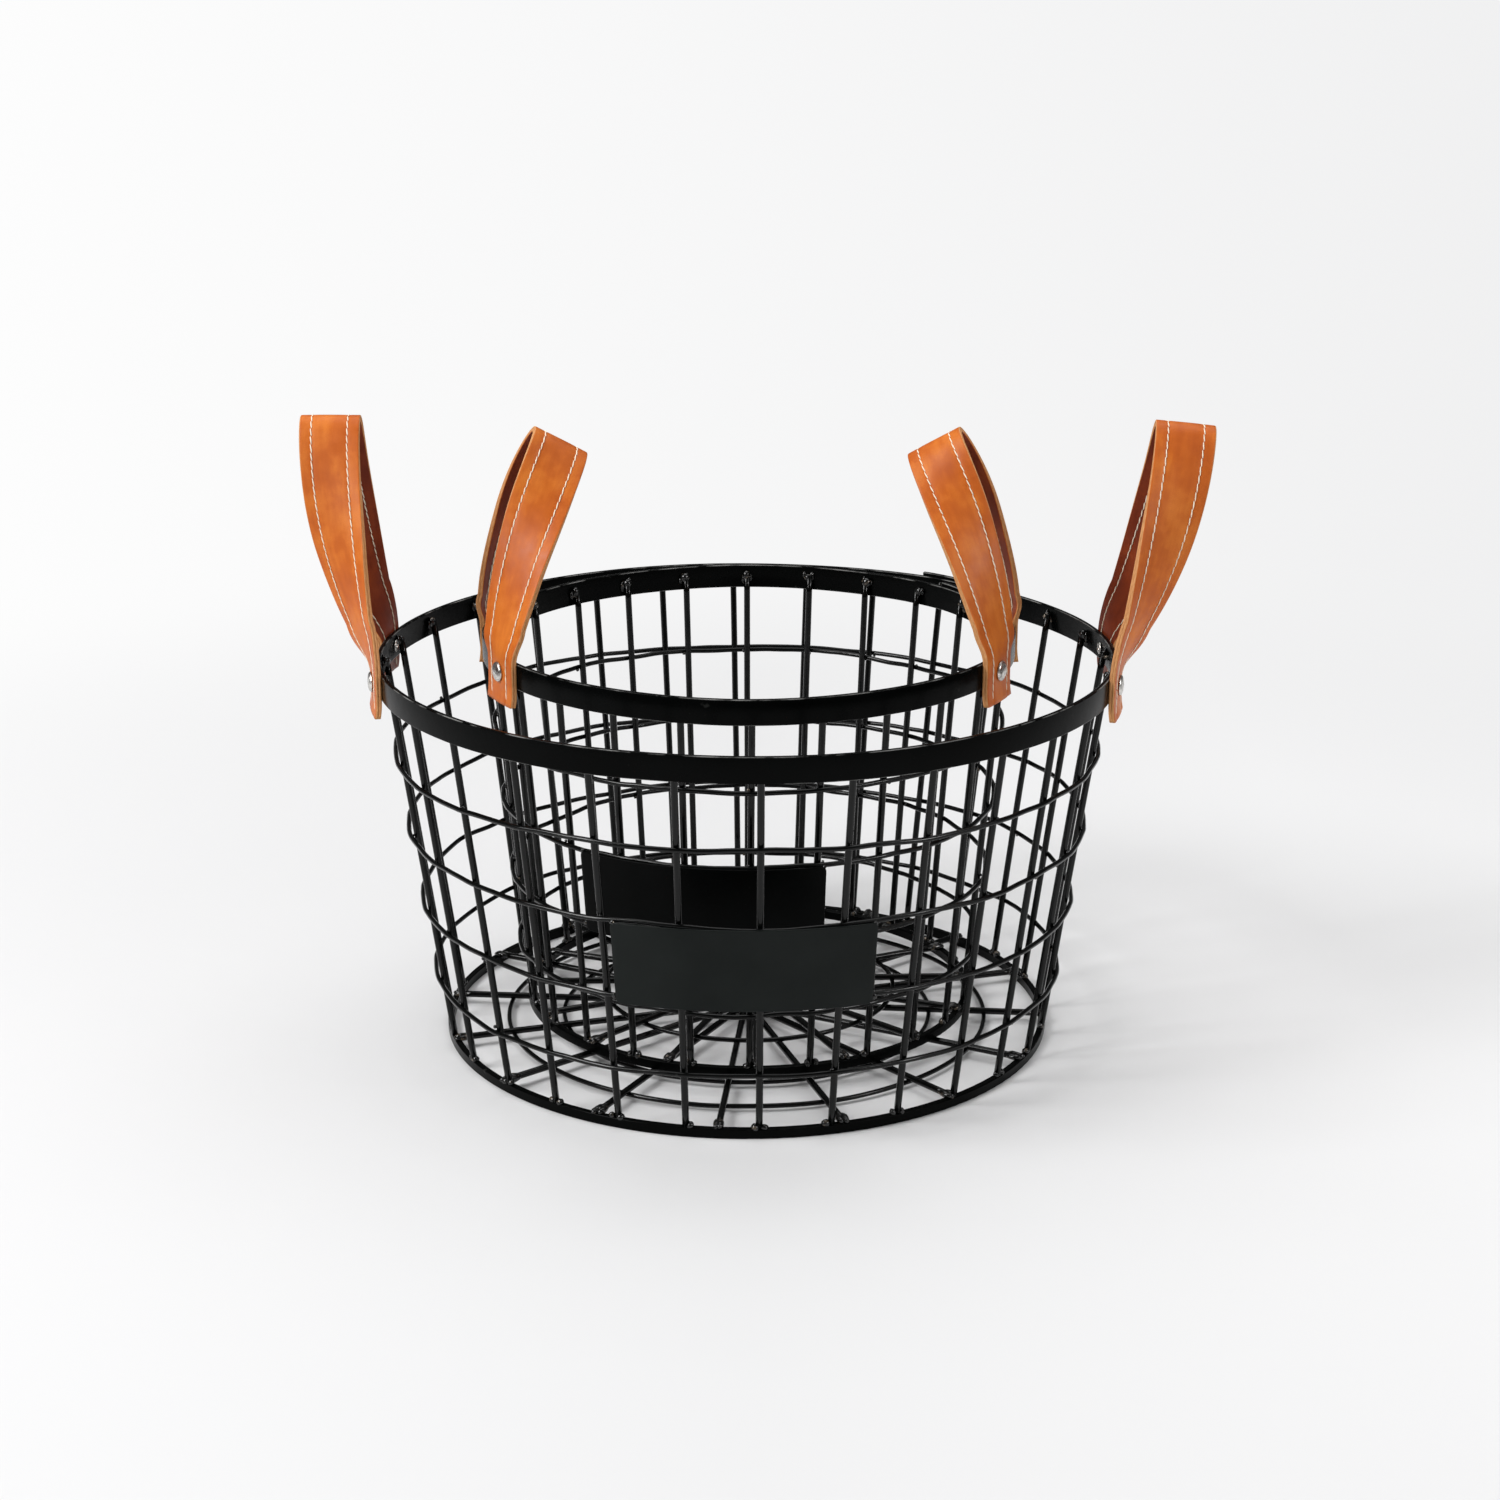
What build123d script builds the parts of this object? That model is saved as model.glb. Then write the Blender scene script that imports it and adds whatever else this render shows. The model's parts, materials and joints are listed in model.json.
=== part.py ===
from build123d import *
from dataclasses import dataclass
from math import asin, atan2, copysign, cos, degrees, pi, radians, sin, tan
import os

# A nest of two round wire baskets with stitched leather handles.
# The small basket stands inside the large one, on its base spokes, a little towards the back.
# Millimetres, +Z up, the origin under the middle of the large basket, on the floor.
# The handles are at the left and right (-X and +X) and the label plates face the front (-Y).

# ---------------------------------------------------------------- both baskets
basket_height = 203.0  # underside of the base ring to the top edge of the rim band
weld_gap = 0.02  # between pieces that are welded together
edge_round = 0.5  # worn edges of flat strip

band_height = 13.0
band_thickness = 2.5

upright_diameter = 3.5
upright_top_gap = 4.0  # top edge of the rim band to the end of an upright

wall_wire_diameter = 2.5
wall_ring_count = 4  # evenly spaced
wall_ring_lengths = 2  # lengths of wire in a ring, welded end to end at an upright
top_ring_drop = 48.3  # top edge of the rim band to the middle of the top ring
foot_ring_height = 35.2  # middle of the lowest ring

base_ring_height = 5.0
base_ring_width = 3.5

spoke_count = 16
spoke_diameter = 3.5
spoke_level = 5.6  # middle of the spokes above the underside of the base ring
hub_radius = 9.6
hub_thickness = 3.5
hoop_wire_diameter = 2.5

plate_width = 126.0  # along its curve
plate_overhang = 3.2  # below the middle of the third ring; the plate's top is at the second
plate_thickness = 1.2

# ---------------------------------------------------------------- handles
strap_width = 30.0
strap_thickness = 3.0
strap_tail = 9.0  # below the rim band
strap_rise = 0.2  # riveted end above the rim band
bend_clearance = 0.3  # riveted end to the loop, which bends on a line above it
loop_taper = 9.0  # how far the legs draw together at a third of their way
loop_top_half = 18.0  # half of the flat stretch that the top of a loop tends to
loop_taper_height = 0.46  # share of the loop's height where the legs are steered in
twist_power = 1.7  # above 1, the strap twists mostly near its riveted ends
loop_steps = 14  # straight stretches in each half of a loop

rivet_shank_radius = 2.0
rivet_hole_clearance = 0.05
rivet_hole_overrun = 2.0  # the cutter past both faces
rivet_head_radius = 4.5
rivet_head_height = 1.9
rivet_tail_radius = 3.2
rivet_tail_thickness = 1.2
rivet_tail_gap = 0.06  # flat tail to the inside of the rim band, which curves away at its middle
rivet_wire_gap = 0.6  # least gap between a tail and the upright beside it

# ---------------------------------------------------------------- how the baskets nest
nest_clearance = 0.3  # small base ring above the large basket's spokes
nest_shift = (1.2, 16.0)  # small basket to the right and towards the back
nest_rim_gap = 51.5  # between the outsides of the two rim bands, before the shift
nest_base_gap = 40.4  # between the middles of the two base rings, before the shift

# ---------------------------------------------------------------- worked out
upright_radius = upright_diameter / 2
wall_wire_radius = wall_wire_diameter / 2
bend_height = basket_height + strap_rise + bend_clearance + strap_thickness / 2
rivet_height = basket_height - band_height / 2
nest_height = spoke_level + spoke_diameter / 2 + nest_clearance
wall_ring_pitch = (basket_height - top_ring_drop - foot_ring_height) / (wall_ring_count - 1)
wall_ring_heights = [basket_height - top_ring_drop - wall_ring_pitch * i for i in range(wall_ring_count)]
plate_top = wall_ring_heights[1]
plate_foot = wall_ring_heights[2] - plate_overhang


@dataclass(frozen=True)
class Basket:
    """The sizes that set one basket apart from the other; angles are in degrees."""

    name: str
    rim_radius: float  # outside of the rim band
    wall_flare: float  # rim radius less the radius of the base ring's middle
    upright_count: int
    upright_turn: float  # first upright, from +X
    spoke_turn: float  # first spoke, from +X
    hoop_insets: tuple  # base hoops, from the base ring's middle inwards
    plate_turn: float  # label plate, from the front
    handle_half_spread: float  # from the middle of a handle to a rivet, unless an upright is there
    handle_turns: tuple  # the left and the right handle towards the front, from the X axis
    handle_height: float  # bend line to the top of the loop, before it leans
    handle_flare: float  # how far the top stands out from the bend line, before it leans
    handle_leans: tuple  # tilt of the left and the right loop towards the basket's middle
    position: tuple = (0.0, 0.0, 0.0)

    @property
    def base_radius(self):
        """Radius of the base ring's middle."""
        return self.rim_radius - self.wall_flare


large = Basket(
    name="large",
    rim_radius=190.0,
    wall_flare=32.2,
    upright_count=28,
    upright_turn=2.2,
    spoke_turn=-5.0,
    hoop_insets=(30.7, 60.1),
    plate_turn=0.0,
    handle_half_spread=36.0,
    handle_turns=(1.5, 3.5),
    handle_height=119.0,
    handle_flare=20.5,
    handle_leans=(0.0, -5.5),
)
small = Basket(
    name="small",
    rim_radius=large.rim_radius - nest_rim_gap,
    wall_flare=large.wall_flare - nest_rim_gap + nest_base_gap,
    upright_count=24,
    upright_turn=0.6,
    spoke_turn=2.0,
    hoop_insets=(39.4,),
    plate_turn=-10.9,
    handle_half_spread=45.0,
    handle_turns=(9.0, 9.0),
    handle_height=103.0,
    handle_flare=16.0,
    handle_leans=(29.0, 30.0),
    position=(*nest_shift, nest_height),
)


def wall_top_radius(basket):
    """Radius of the uprights' middles at their upper ends, which touch the rim band's inside."""
    return basket.rim_radius - band_thickness - upright_radius - weld_gap


def wall_lean(basket):
    """Angle between an upright and the vertical, in radians."""
    rise = basket_height - upright_top_gap - base_ring_height
    return atan2(wall_top_radius(basket) - basket.base_radius, rise)


def wall_radius(basket, height):
    """Radius of the uprights' middles at a height."""
    return basket.base_radius + (height - base_ring_height) * tan(wall_lean(basket))


def ring_radius(basket, height):
    """Radius of a wall ring's middle, outside the uprights that it is welded to."""
    offset = upright_radius + wall_wire_radius + weld_gap
    return wall_radius(basket, height) + offset / cos(wall_lean(basket))


def strap_inner_radius(basket):
    """Inner face of a riveted strap end, which lies against the rim band."""
    return basket.rim_radius + weld_gap


def strap_middle_radius(basket):
    """Middle of a riveted strap end's thickness."""
    return strap_inner_radius(basket) + strap_thickness / 2


def beside_uprights(basket, angle, first_upright):
    """The angle closest to the given one at which a rivet's tail misses the uprights."""
    pitch = 360 / basket.upright_count
    offset = (angle - first_upright + pitch / 2) % pitch - pitch / 2
    least = rivet_tail_radius + upright_radius + rivet_wire_gap
    least_offset = degrees(least / (basket.rim_radius - band_thickness))
    if abs(offset) >= least_offset:
        return angle
    return angle - offset + copysign(least_offset, offset)


@dataclass(frozen=True)
class Handle:
    """Where a handle is, as if it were a right-hand one; angles are in degrees."""

    basket: Basket
    middle: float  # angle of its middle, from +X
    rivet_angle: float  # from its middle to each rivet
    lean: float

    @property
    def half_spread(self):
        """From the middle of the handle to the middle of each strap end, along its bend line."""
        return strap_middle_radius(self.basket) * sin(radians(self.rivet_angle))

    @property
    def bend_line_x(self):
        """X of the line that the loop bends on, through the middle of both strap ends."""
        return strap_middle_radius(self.basket) * cos(radians(self.rivet_angle))


def place_handle(basket, side):
    """The place of the "left" or "right" handle, with each rivet beside an upright, not on it."""
    half = degrees(asin(basket.handle_half_spread / strap_middle_radius(basket)))
    first_upright = basket.upright_turn if side == "right" else 180 - basket.upright_turn
    number = 1 if side == "right" else 0
    front = beside_uprights(basket, -basket.handle_turns[number] - half, first_upright)
    back = beside_uprights(basket, -basket.handle_turns[number] + half, first_upright)
    return Handle(basket, (front + back) / 2, (back - front) / 2, basket.handle_leans[number])


def rod(start, end, radius):
    """A round rod between two points."""
    way = Vector(*end) - Vector(*start)
    plane = Plane(origin=start, z_dir=way)
    return Solid.make_cylinder(radius, way.length, plane)


def around(shape, count, first_angle):
    """A group of equal solids, evenly spaced around the Z axis."""
    step = 360 / count
    return Compound([shape.rotate(Axis.Z, first_angle + step * i) for i in range(count)])


def flat_hoop(outer_radius, width, bottom, height, rounding):
    """A ring of flat strip with softened edges."""
    middle = Pos(outer_radius - width / 2, bottom + height / 2)
    profile = Plane.XZ * middle * RectangleRounded(width, height, rounding)
    return revolve(profile, Axis.Z)


def wire_hoop(radius, level, wire_radius):
    """A closed ring of round wire."""
    return Pos(0, 0, level) * Torus(radius, wire_radius)


# ---------------------------------------------------------------- wire work
def rivet_hole(basket, angle):
    """The cutter for a rivet hole through a strap end and the rim band."""
    start = basket.rim_radius - band_thickness - rivet_hole_overrun
    end = strap_inner_radius(basket) + strap_thickness + rivet_hole_overrun
    radius = rivet_shank_radius + rivet_hole_clearance
    return rod((start, 0, rivet_height), (end, 0, rivet_height), radius).rotate(Axis.Z, angle)


def rim_band(basket):
    """The flat strip around the mouth, with a hole for each rivet."""
    band = flat_hoop(basket.rim_radius, band_thickness, basket_height - band_height, band_height, edge_round)
    left = place_handle(basket, "left")
    right = place_handle(basket, "right")
    for end in (-1, 1):
        band -= rivet_hole(basket, right.middle + end * right.rivet_angle)
        band -= rivet_hole(basket, 180 - left.middle - end * left.rivet_angle)
    return band


def upright_wires(basket):
    """The rods of the wall, from the top of the base ring to the inside of the rim band."""
    foot = base_ring_height + weld_gap + upright_radius * sin(wall_lean(basket))
    head = basket_height - upright_top_gap
    start = (wall_radius(basket, foot), 0, foot)
    end = (wall_radius(basket, head), 0, head)
    return around(rod(start, end, upright_radius), basket.upright_count, basket.upright_turn)


def wall_ring(basket, height):
    """One of the thin hoops around the outside of the wall, bent from equal lengths of wire."""
    radius = ring_radius(basket, height)
    arc = 360 / wall_ring_lengths - degrees(weld_gap / radius)
    length = Pos(0, 0, height) * Torus(radius, wall_wire_radius, major_angle=arc, align=None)
    return around(length, wall_ring_lengths, basket.upright_turn)


def base_ring(basket):
    """The heavier ring that the basket stands on."""
    outer = basket.base_radius + base_ring_width / 2
    return flat_hoop(outer, base_ring_width, 0, base_ring_height, edge_round)


def base_spokes(basket):
    """The rods of the base, from the hub to the inside of the base ring."""
    start = (hub_radius, 0, spoke_level)
    end = (basket.base_radius - base_ring_width / 2 - weld_gap, 0, spoke_level)
    return around(rod(start, end, spoke_diameter / 2), spoke_count, basket.spoke_turn)


def base_hub():
    """The round piece that the spokes meet at."""
    return Pos(0, 0, spoke_level) * Cylinder(hub_radius - weld_gap, hub_thickness)


def base_hoop(radius):
    """A thin hoop under the spokes, just clear of the floor."""
    level = spoke_level - spoke_diameter / 2 - hoop_wire_diameter / 2 - weld_gap
    return wire_hoop(radius, level, hoop_wire_diameter / 2)


def label_plate(basket):
    """The curved blank plate on the front, welded over the second and third wall rings."""
    lean = wall_lean(basket)
    offset = (upright_radius + wall_wire_diameter + 2 * weld_gap) / cos(lean)
    inner_top = wall_radius(basket, plate_top) + offset
    inner_foot = wall_radius(basket, plate_foot) + offset
    depth = plate_thickness / cos(lean)
    profile = Plane.XZ * Polygon(
        (inner_foot, plate_foot),
        (inner_foot + depth, plate_foot),
        (inner_top + depth, plate_top),
        (inner_top, plate_top),
        align=None,
    )
    arc = degrees(plate_width / ((inner_top + inner_foot) / 2))
    plate = revolve(profile, Axis.Z, arc)
    middle = plate.center(CenterOf.BOUNDING_BOX)
    turned = degrees(atan2(middle.Y, middle.X))
    return plate.rotate(Axis.Z, -90 + basket.plate_turn - turned)


# ------------------------------------------- handles, each with its middle on the +X axis
def strap_end(handle, end):
    """A riveted strap end against the outside of the rim band; end is -1 for front, 1 for back."""
    foot = basket_height - band_height - strap_tail
    height = basket_height + strap_rise - foot
    radius = strap_middle_radius(handle.basket)
    profile = Plane.XZ * Pos(radius, foot + height / 2) * Rectangle(strap_thickness, height)
    strap = revolve(profile, Axis.Z, degrees(strap_width / radius))
    middle = strap.center(CenterOf.BOUNDING_BOX)
    turned = degrees(atan2(middle.Y, middle.X))
    angle = end * handle.rivet_angle
    return strap.rotate(Axis.Z, angle - turned) - rivet_hole(handle.basket, angle)


def rivets(handle):
    """The two rivets of a handle: domed head outside, tail spread inside the rim band."""
    face = strap_inner_radius(handle.basket) + strap_thickness + weld_gap
    back = handle.basket.rim_radius - band_thickness - rivet_tail_gap
    end = back - rivet_tail_thickness
    crown = face + rivet_head_height
    dome_radius = (rivet_head_radius**2 + rivet_head_height**2) / (2 * rivet_head_height)
    outline = Polyline(
        (crown, 0),
        (end, 0),
        (end, rivet_tail_radius),
        (back, rivet_tail_radius),
        (back, rivet_shank_radius),
        (face, rivet_shank_radius),
        (face, rivet_head_radius),
    )
    dome = RadiusArc((face, rivet_head_radius), (crown, 0), dome_radius)
    rivet = Pos(0, 0, rivet_height) * revolve(make_face(outline + dome), Axis.X)
    return Compound([rivet.rotate(Axis.Z, end * handle.rivet_angle) for end in (-1, 1)])


def loop_point(handle, share):
    """A point on the back leg's middle line, from the bend (share 0) to the top (share 1)."""
    spread = handle.half_spread
    height = handle.basket.handle_height
    steering = (spread - loop_taper, loop_taper_height * height)
    steps = ((spread, 0), steering, (loop_top_half, height), (0, height))
    rest = 1 - share
    weights = (rest**3, 3 * rest**2 * share, 3 * rest * share**2, share**3)
    y = sum(weight * step[0] for weight, step in zip(weights, steps))
    z = sum(weight * step[1] for weight, step in zip(weights, steps))
    x = handle.basket.handle_flare * (1 - (1 - z / height) ** 2)
    return Vector(x, y, z)


def loop_section(handle, share):
    """The strap's outline across the back leg, turned from along the rim to across it."""
    centre = loop_point(handle, share)
    twist = pi / 2 * (1 - (1 - share) ** twist_power)
    width_way = Vector(-sin(twist), cos(twist), 0)
    if share == 0:
        along = Vector(0, 0, 1)
    elif share == 1:
        along = Vector(0, -1, 0)
    else:
        step = 0.001
        along = (loop_point(handle, share + step) - loop_point(handle, share - step)).normalized()
    width_way = (width_way - along * width_way.dot(along)).normalized()
    plane = Plane(origin=centre, x_dir=width_way, z_dir=along)
    return (plane * Rectangle(strap_width, strap_thickness)).wire()


def handle_loop(handle):
    """The free loop of a handle, with rounded ends on its bend line."""
    shares = [i / loop_steps for i in range(loop_steps + 1)]
    leg = Solid.make_loft([loop_section(handle, share) for share in shares], ruled=True)
    knuckle_start = handle.half_spread - strap_width / 2
    knuckle_end = handle.half_spread + strap_width / 2
    half = leg + rod((0, knuckle_start, 0), (0, knuckle_end, 0), strap_thickness / 2)
    loop = (half + mirror(half, Plane.XZ)).solid()
    return Pos(handle.bend_line_x, 0, bend_height) * loop.rotate(Axis.Y, -handle.lean)


# ---------------------------------------------------------------- one whole basket
def wire_pieces(basket):
    """Every metal piece of a basket by its plain name."""
    pieces = {
        "rim_band": rim_band(basket),
        "upright_wires": upright_wires(basket),
        "base_ring": base_ring(basket),
        "base_spokes": base_spokes(basket),
        "base_hub": base_hub(),
        "label_plate": label_plate(basket),
    }
    for number, height in enumerate(wall_ring_heights, start=1):
        pieces[f"wall_ring_{number}"] = wall_ring(basket, height)
    for number, inset in enumerate(basket.hoop_insets, start=1):
        pieces[f"base_hoop_{number}"] = base_hoop(basket.base_radius - inset)
    return pieces


def handle_pieces(basket, side):
    """The pieces of the "left" or "right" handle; the left one is a right one, mirrored."""
    handle = place_handle(basket, side)
    pieces = {
        "loop": handle_loop(handle),
        "front_end": strap_end(handle, -1),
        "back_end": strap_end(handle, 1),
        "rivets": rivets(handle),
    }
    turned = {name: shape.rotate(Axis.Z, handle.middle) for name, shape in pieces.items()}
    if side == "left":
        turned = {name: mirror(shape, Plane.YZ) for name, shape in turned.items()}
    return {f"{side}_handle_{name}": shape for name, shape in turned.items()}


def write_basket(basket):
    """Write each piece of a basket where it stands in the nest."""
    pieces = {**wire_pieces(basket), **handle_pieces(basket, "left"), **handle_pieces(basket, "right")}
    for name, shape in pieces.items():
        export_step(Pos(*basket.position) * shape, f"parts/{basket.name}_{name}.step")


os.makedirs("parts", exist_ok=True)
for basket in (large, small):
    write_basket(basket)
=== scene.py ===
"""Two nested round wire baskets with stitched leather handles: the visual model.

Lengths are in metres and +Z is up. The handles are at the left and right, and the label plates
face the front, which is -Y. Each basket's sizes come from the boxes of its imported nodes.
"""

import json
import logging
import math
from dataclasses import dataclass
from enum import Enum

import bpy
import numpy as np
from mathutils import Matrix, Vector


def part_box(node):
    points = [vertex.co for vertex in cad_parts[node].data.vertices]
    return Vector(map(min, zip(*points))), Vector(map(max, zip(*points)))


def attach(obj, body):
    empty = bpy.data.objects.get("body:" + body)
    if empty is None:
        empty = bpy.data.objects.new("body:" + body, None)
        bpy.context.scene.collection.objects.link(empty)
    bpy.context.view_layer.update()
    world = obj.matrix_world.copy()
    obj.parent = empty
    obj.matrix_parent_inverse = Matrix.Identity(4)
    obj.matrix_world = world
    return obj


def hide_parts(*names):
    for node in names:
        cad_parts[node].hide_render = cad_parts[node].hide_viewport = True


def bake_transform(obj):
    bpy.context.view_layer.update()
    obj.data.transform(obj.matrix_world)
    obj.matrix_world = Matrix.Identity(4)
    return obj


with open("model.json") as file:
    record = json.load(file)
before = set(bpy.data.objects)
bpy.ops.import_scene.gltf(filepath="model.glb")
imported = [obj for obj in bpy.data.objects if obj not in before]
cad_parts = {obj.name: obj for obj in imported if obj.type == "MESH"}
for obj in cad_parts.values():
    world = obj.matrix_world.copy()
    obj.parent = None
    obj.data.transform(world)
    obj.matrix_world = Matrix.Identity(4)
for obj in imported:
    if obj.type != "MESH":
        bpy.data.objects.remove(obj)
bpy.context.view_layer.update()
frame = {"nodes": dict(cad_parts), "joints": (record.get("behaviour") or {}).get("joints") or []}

MM = 0.001
EDGE_RUB_AND_SHEEN = "edge_rub_and_sheen"  # the attribute that is 1 along the rim band's edges: paint rubs off there, and the bare colour there is also a painted highlight of the edges catching the light

log = logging.getLogger("baskets")

Colour = tuple[float, float, float]
Inputs = dict[str | int, object]


# ---------------------------------------------------------------- small helpers
def rgba(colour: Colour) -> tuple[float, float, float, float]:
    """A colour with full alpha."""
    return (*colour, 1.0)


def smoothstep(value: np.ndarray | float) -> np.ndarray | float:
    """A soft step from 0 to 1 as the value goes from 0 to 1."""
    clipped = np.clip(value, 0.0, 1.0)
    return clipped * clipped * (3 - 2 * clipped)


def unit(rows: np.ndarray) -> np.ndarray:
    """Rows scaled to length 1."""
    return rows / np.linalg.norm(rows, axis=1, keepdims=True)


def add_object(name: str, mesh: bpy.types.Mesh) -> bpy.types.Object:
    """Link a mesh into the scene as an object at the origin.

    Args:
        name: The object's name.
        mesh: Its mesh, already in place.

    Returns:
        The new object.
    """
    thing = bpy.data.objects.new(name, mesh)
    bpy.context.scene.collection.objects.link(thing)
    return thing


def mesh_from(name: str, points: np.ndarray, faces: list[tuple[int, ...]]) -> bpy.types.Mesh:
    """A smooth-shaded mesh from points and faces.

    Args:
        name: The mesh's name.
        points: One row of x, y, z for each vertex.
        faces: Vertex numbers of each face, anticlockwise from outside.

    Returns:
        The new mesh.
    """
    mesh = bpy.data.meshes.new(name)
    mesh.from_pydata(points.tolist(), [], faces)
    mesh.shade_smooth()
    mesh.update()
    return mesh


def tube_faces(stations: int, outline: int, closed: bool) -> list[tuple[int, ...]]:
    """Faces of a tube whose vertices are listed outline by outline.

    Args:
        stations: How many outlines follow each other.
        outline: How many points each outline has.
        closed: Whether the last outline joins the first; if not, both ends get a cap.

    Returns:
        The faces, with the side faces first, station by station.
    """
    faces = []
    for i in range(stations if closed else stations - 1):
        here, there = i * outline, (i + 1) % stations * outline
        for j in range(outline):
            after = (j + 1) % outline
            faces.append((here + j, here + after, there + after, there + j))
    if not closed:
        last = (stations - 1) * outline
        faces.append(tuple(reversed(range(outline))))
        faces.append(tuple(range(last, last + outline)))
    return faces


# ---------------------------------------------------------------- node trees
class Net:
    """A node tree being built: each call adds a node and sets or joins its inputs."""

    def __init__(self, tree: bpy.types.NodeTree) -> None:
        """Start with an existing tree."""
        self.tree = tree

    def add(self, kind: str, inputs: Inputs | None = None, **settings: object) -> bpy.types.Node:
        """Add a node.

        Args:
            kind: The node's type name.
            inputs: Values or output sockets, by input name, identifier or number.
            **settings: Properties of the node itself.

        Returns:
            The new node.
        """
        node = self.tree.nodes.new(kind)
        for name, value in settings.items():
            setattr(node, name, value)
        for key, value in (inputs or {}).items():
            self.put(self.find(node, key), value)
        return node

    @staticmethod
    def find(node: bpy.types.Node, key: str | int) -> bpy.types.NodeSocket:
        """An input by its number, its identifier or the name of an input in use."""
        if isinstance(key, int):
            return node.inputs[key]
        exact = [socket for socket in node.inputs if socket.identifier == key and socket.enabled]
        return exact[0] if exact else next(s for s in node.inputs if s.name == key and s.enabled)

    def put(self, socket: bpy.types.NodeSocket, value: object) -> None:
        """Join an output to a socket, or set the socket's own value."""
        if isinstance(value, bpy.types.NodeSocket):
            self.tree.links.new(value, socket)
        else:
            socket.default_value = value

    def math(self, operation: str, *values: object) -> bpy.types.NodeSocket:
        """The result of a number operation."""
        return self.add("ShaderNodeMath", dict(enumerate(values)), operation=operation).outputs[0]

    def vector(self, operation: str, *values: object) -> bpy.types.NodeSocket:
        """The vector result of a vector operation."""
        node = self.add("ShaderNodeVectorMath", dict(enumerate(values)), operation=operation)
        return node.outputs["Vector"]

    def scaled(self, vector: object, factor: object) -> bpy.types.NodeSocket:
        """A vector times a number."""
        inputs = {0: vector, "Scale": factor}
        return self.add("ShaderNodeVectorMath", inputs, operation="SCALE").outputs["Vector"]

    def combine(self, x: object, y: object, z: object) -> bpy.types.NodeSocket:
        """A vector from three numbers."""
        return self.add("ShaderNodeCombineXYZ", {0: x, 1: y, 2: z}).outputs[0]

    def parts(self, vector: object) -> tuple[bpy.types.NodeSocket, ...]:
        """The three numbers of a vector."""
        return tuple(self.add("ShaderNodeSeparateXYZ", {0: vector}).outputs)

    def noise(self, vector: object, scale: float, detail: float = 2.0) -> bpy.types.NodeSocket:
        """Soft noise from 0 to 1 at points of a vector field."""
        inputs = {"Vector": vector, "Scale": scale, "Detail": detail}
        return self.add("ShaderNodeTexNoise", inputs).outputs[0]

    def spread(
        self, value: object, low: float, high: float, to_low: float, to_high: float
    ) -> bpy.types.NodeSocket:
        """A number moved from one range to another, and kept in it."""
        inputs = {0: value, 1: low, 2: high, 3: to_low, 4: to_high}
        return self.add("ShaderNodeMapRange", inputs).outputs[0]

    def tint(
        self, factor: object, first: object, second: object, mode: str = "MIX"
    ) -> bpy.types.NodeSocket:
        """Two colours mixed by a factor."""
        node = self.add("ShaderNodeMix", data_type="RGBA", blend_type=mode)
        for key, value in (("Factor_Float", factor), ("A_Color", first), ("B_Color", second)):
            self.put(self.find(node, key), value)
        return next(socket for socket in node.outputs if socket.identifier == "Result_Color")


class Shader(Net):
    """A surface material being built around one main shader node."""

    def __init__(self, name: str) -> None:
        """Make a material with an empty tree, its main shader and its output."""
        self.material = bpy.data.materials.new(name)
        self.material.use_nodes = True
        super().__init__(self.material.node_tree)
        self.tree.nodes.clear()
        self.surface = self.add("ShaderNodeBsdfPrincipled")
        output = self.add("ShaderNodeOutputMaterial")
        self.put(output.inputs["Surface"], self.surface.outputs[0])
        self.place = self.add("ShaderNodeTexCoord").outputs["Object"]

    def set(self, **values: object) -> None:
        """Set inputs of the main shader; an underscore in a name stands for a space."""
        for name, value in values.items():
            self.put(self.surface.inputs[name.replace("_", " ")], value)

    def raise_bumps(self, *layers: tuple[object, float, float]) -> None:
        """Stack bump layers.

        Args:
            *layers: For each layer its height from 0 to 1, its real height in metres and its
                strength.
        """
        normal: object = None
        for height, depth, strength in layers:
            inputs: Inputs = {"Height": height, "Distance": depth, "Strength": strength}
            if normal is not None:
                inputs["Normal"] = normal
            normal = self.add("ShaderNodeBump", inputs).outputs[0]
        self.put(self.surface.inputs["Normal"], normal)


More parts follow.
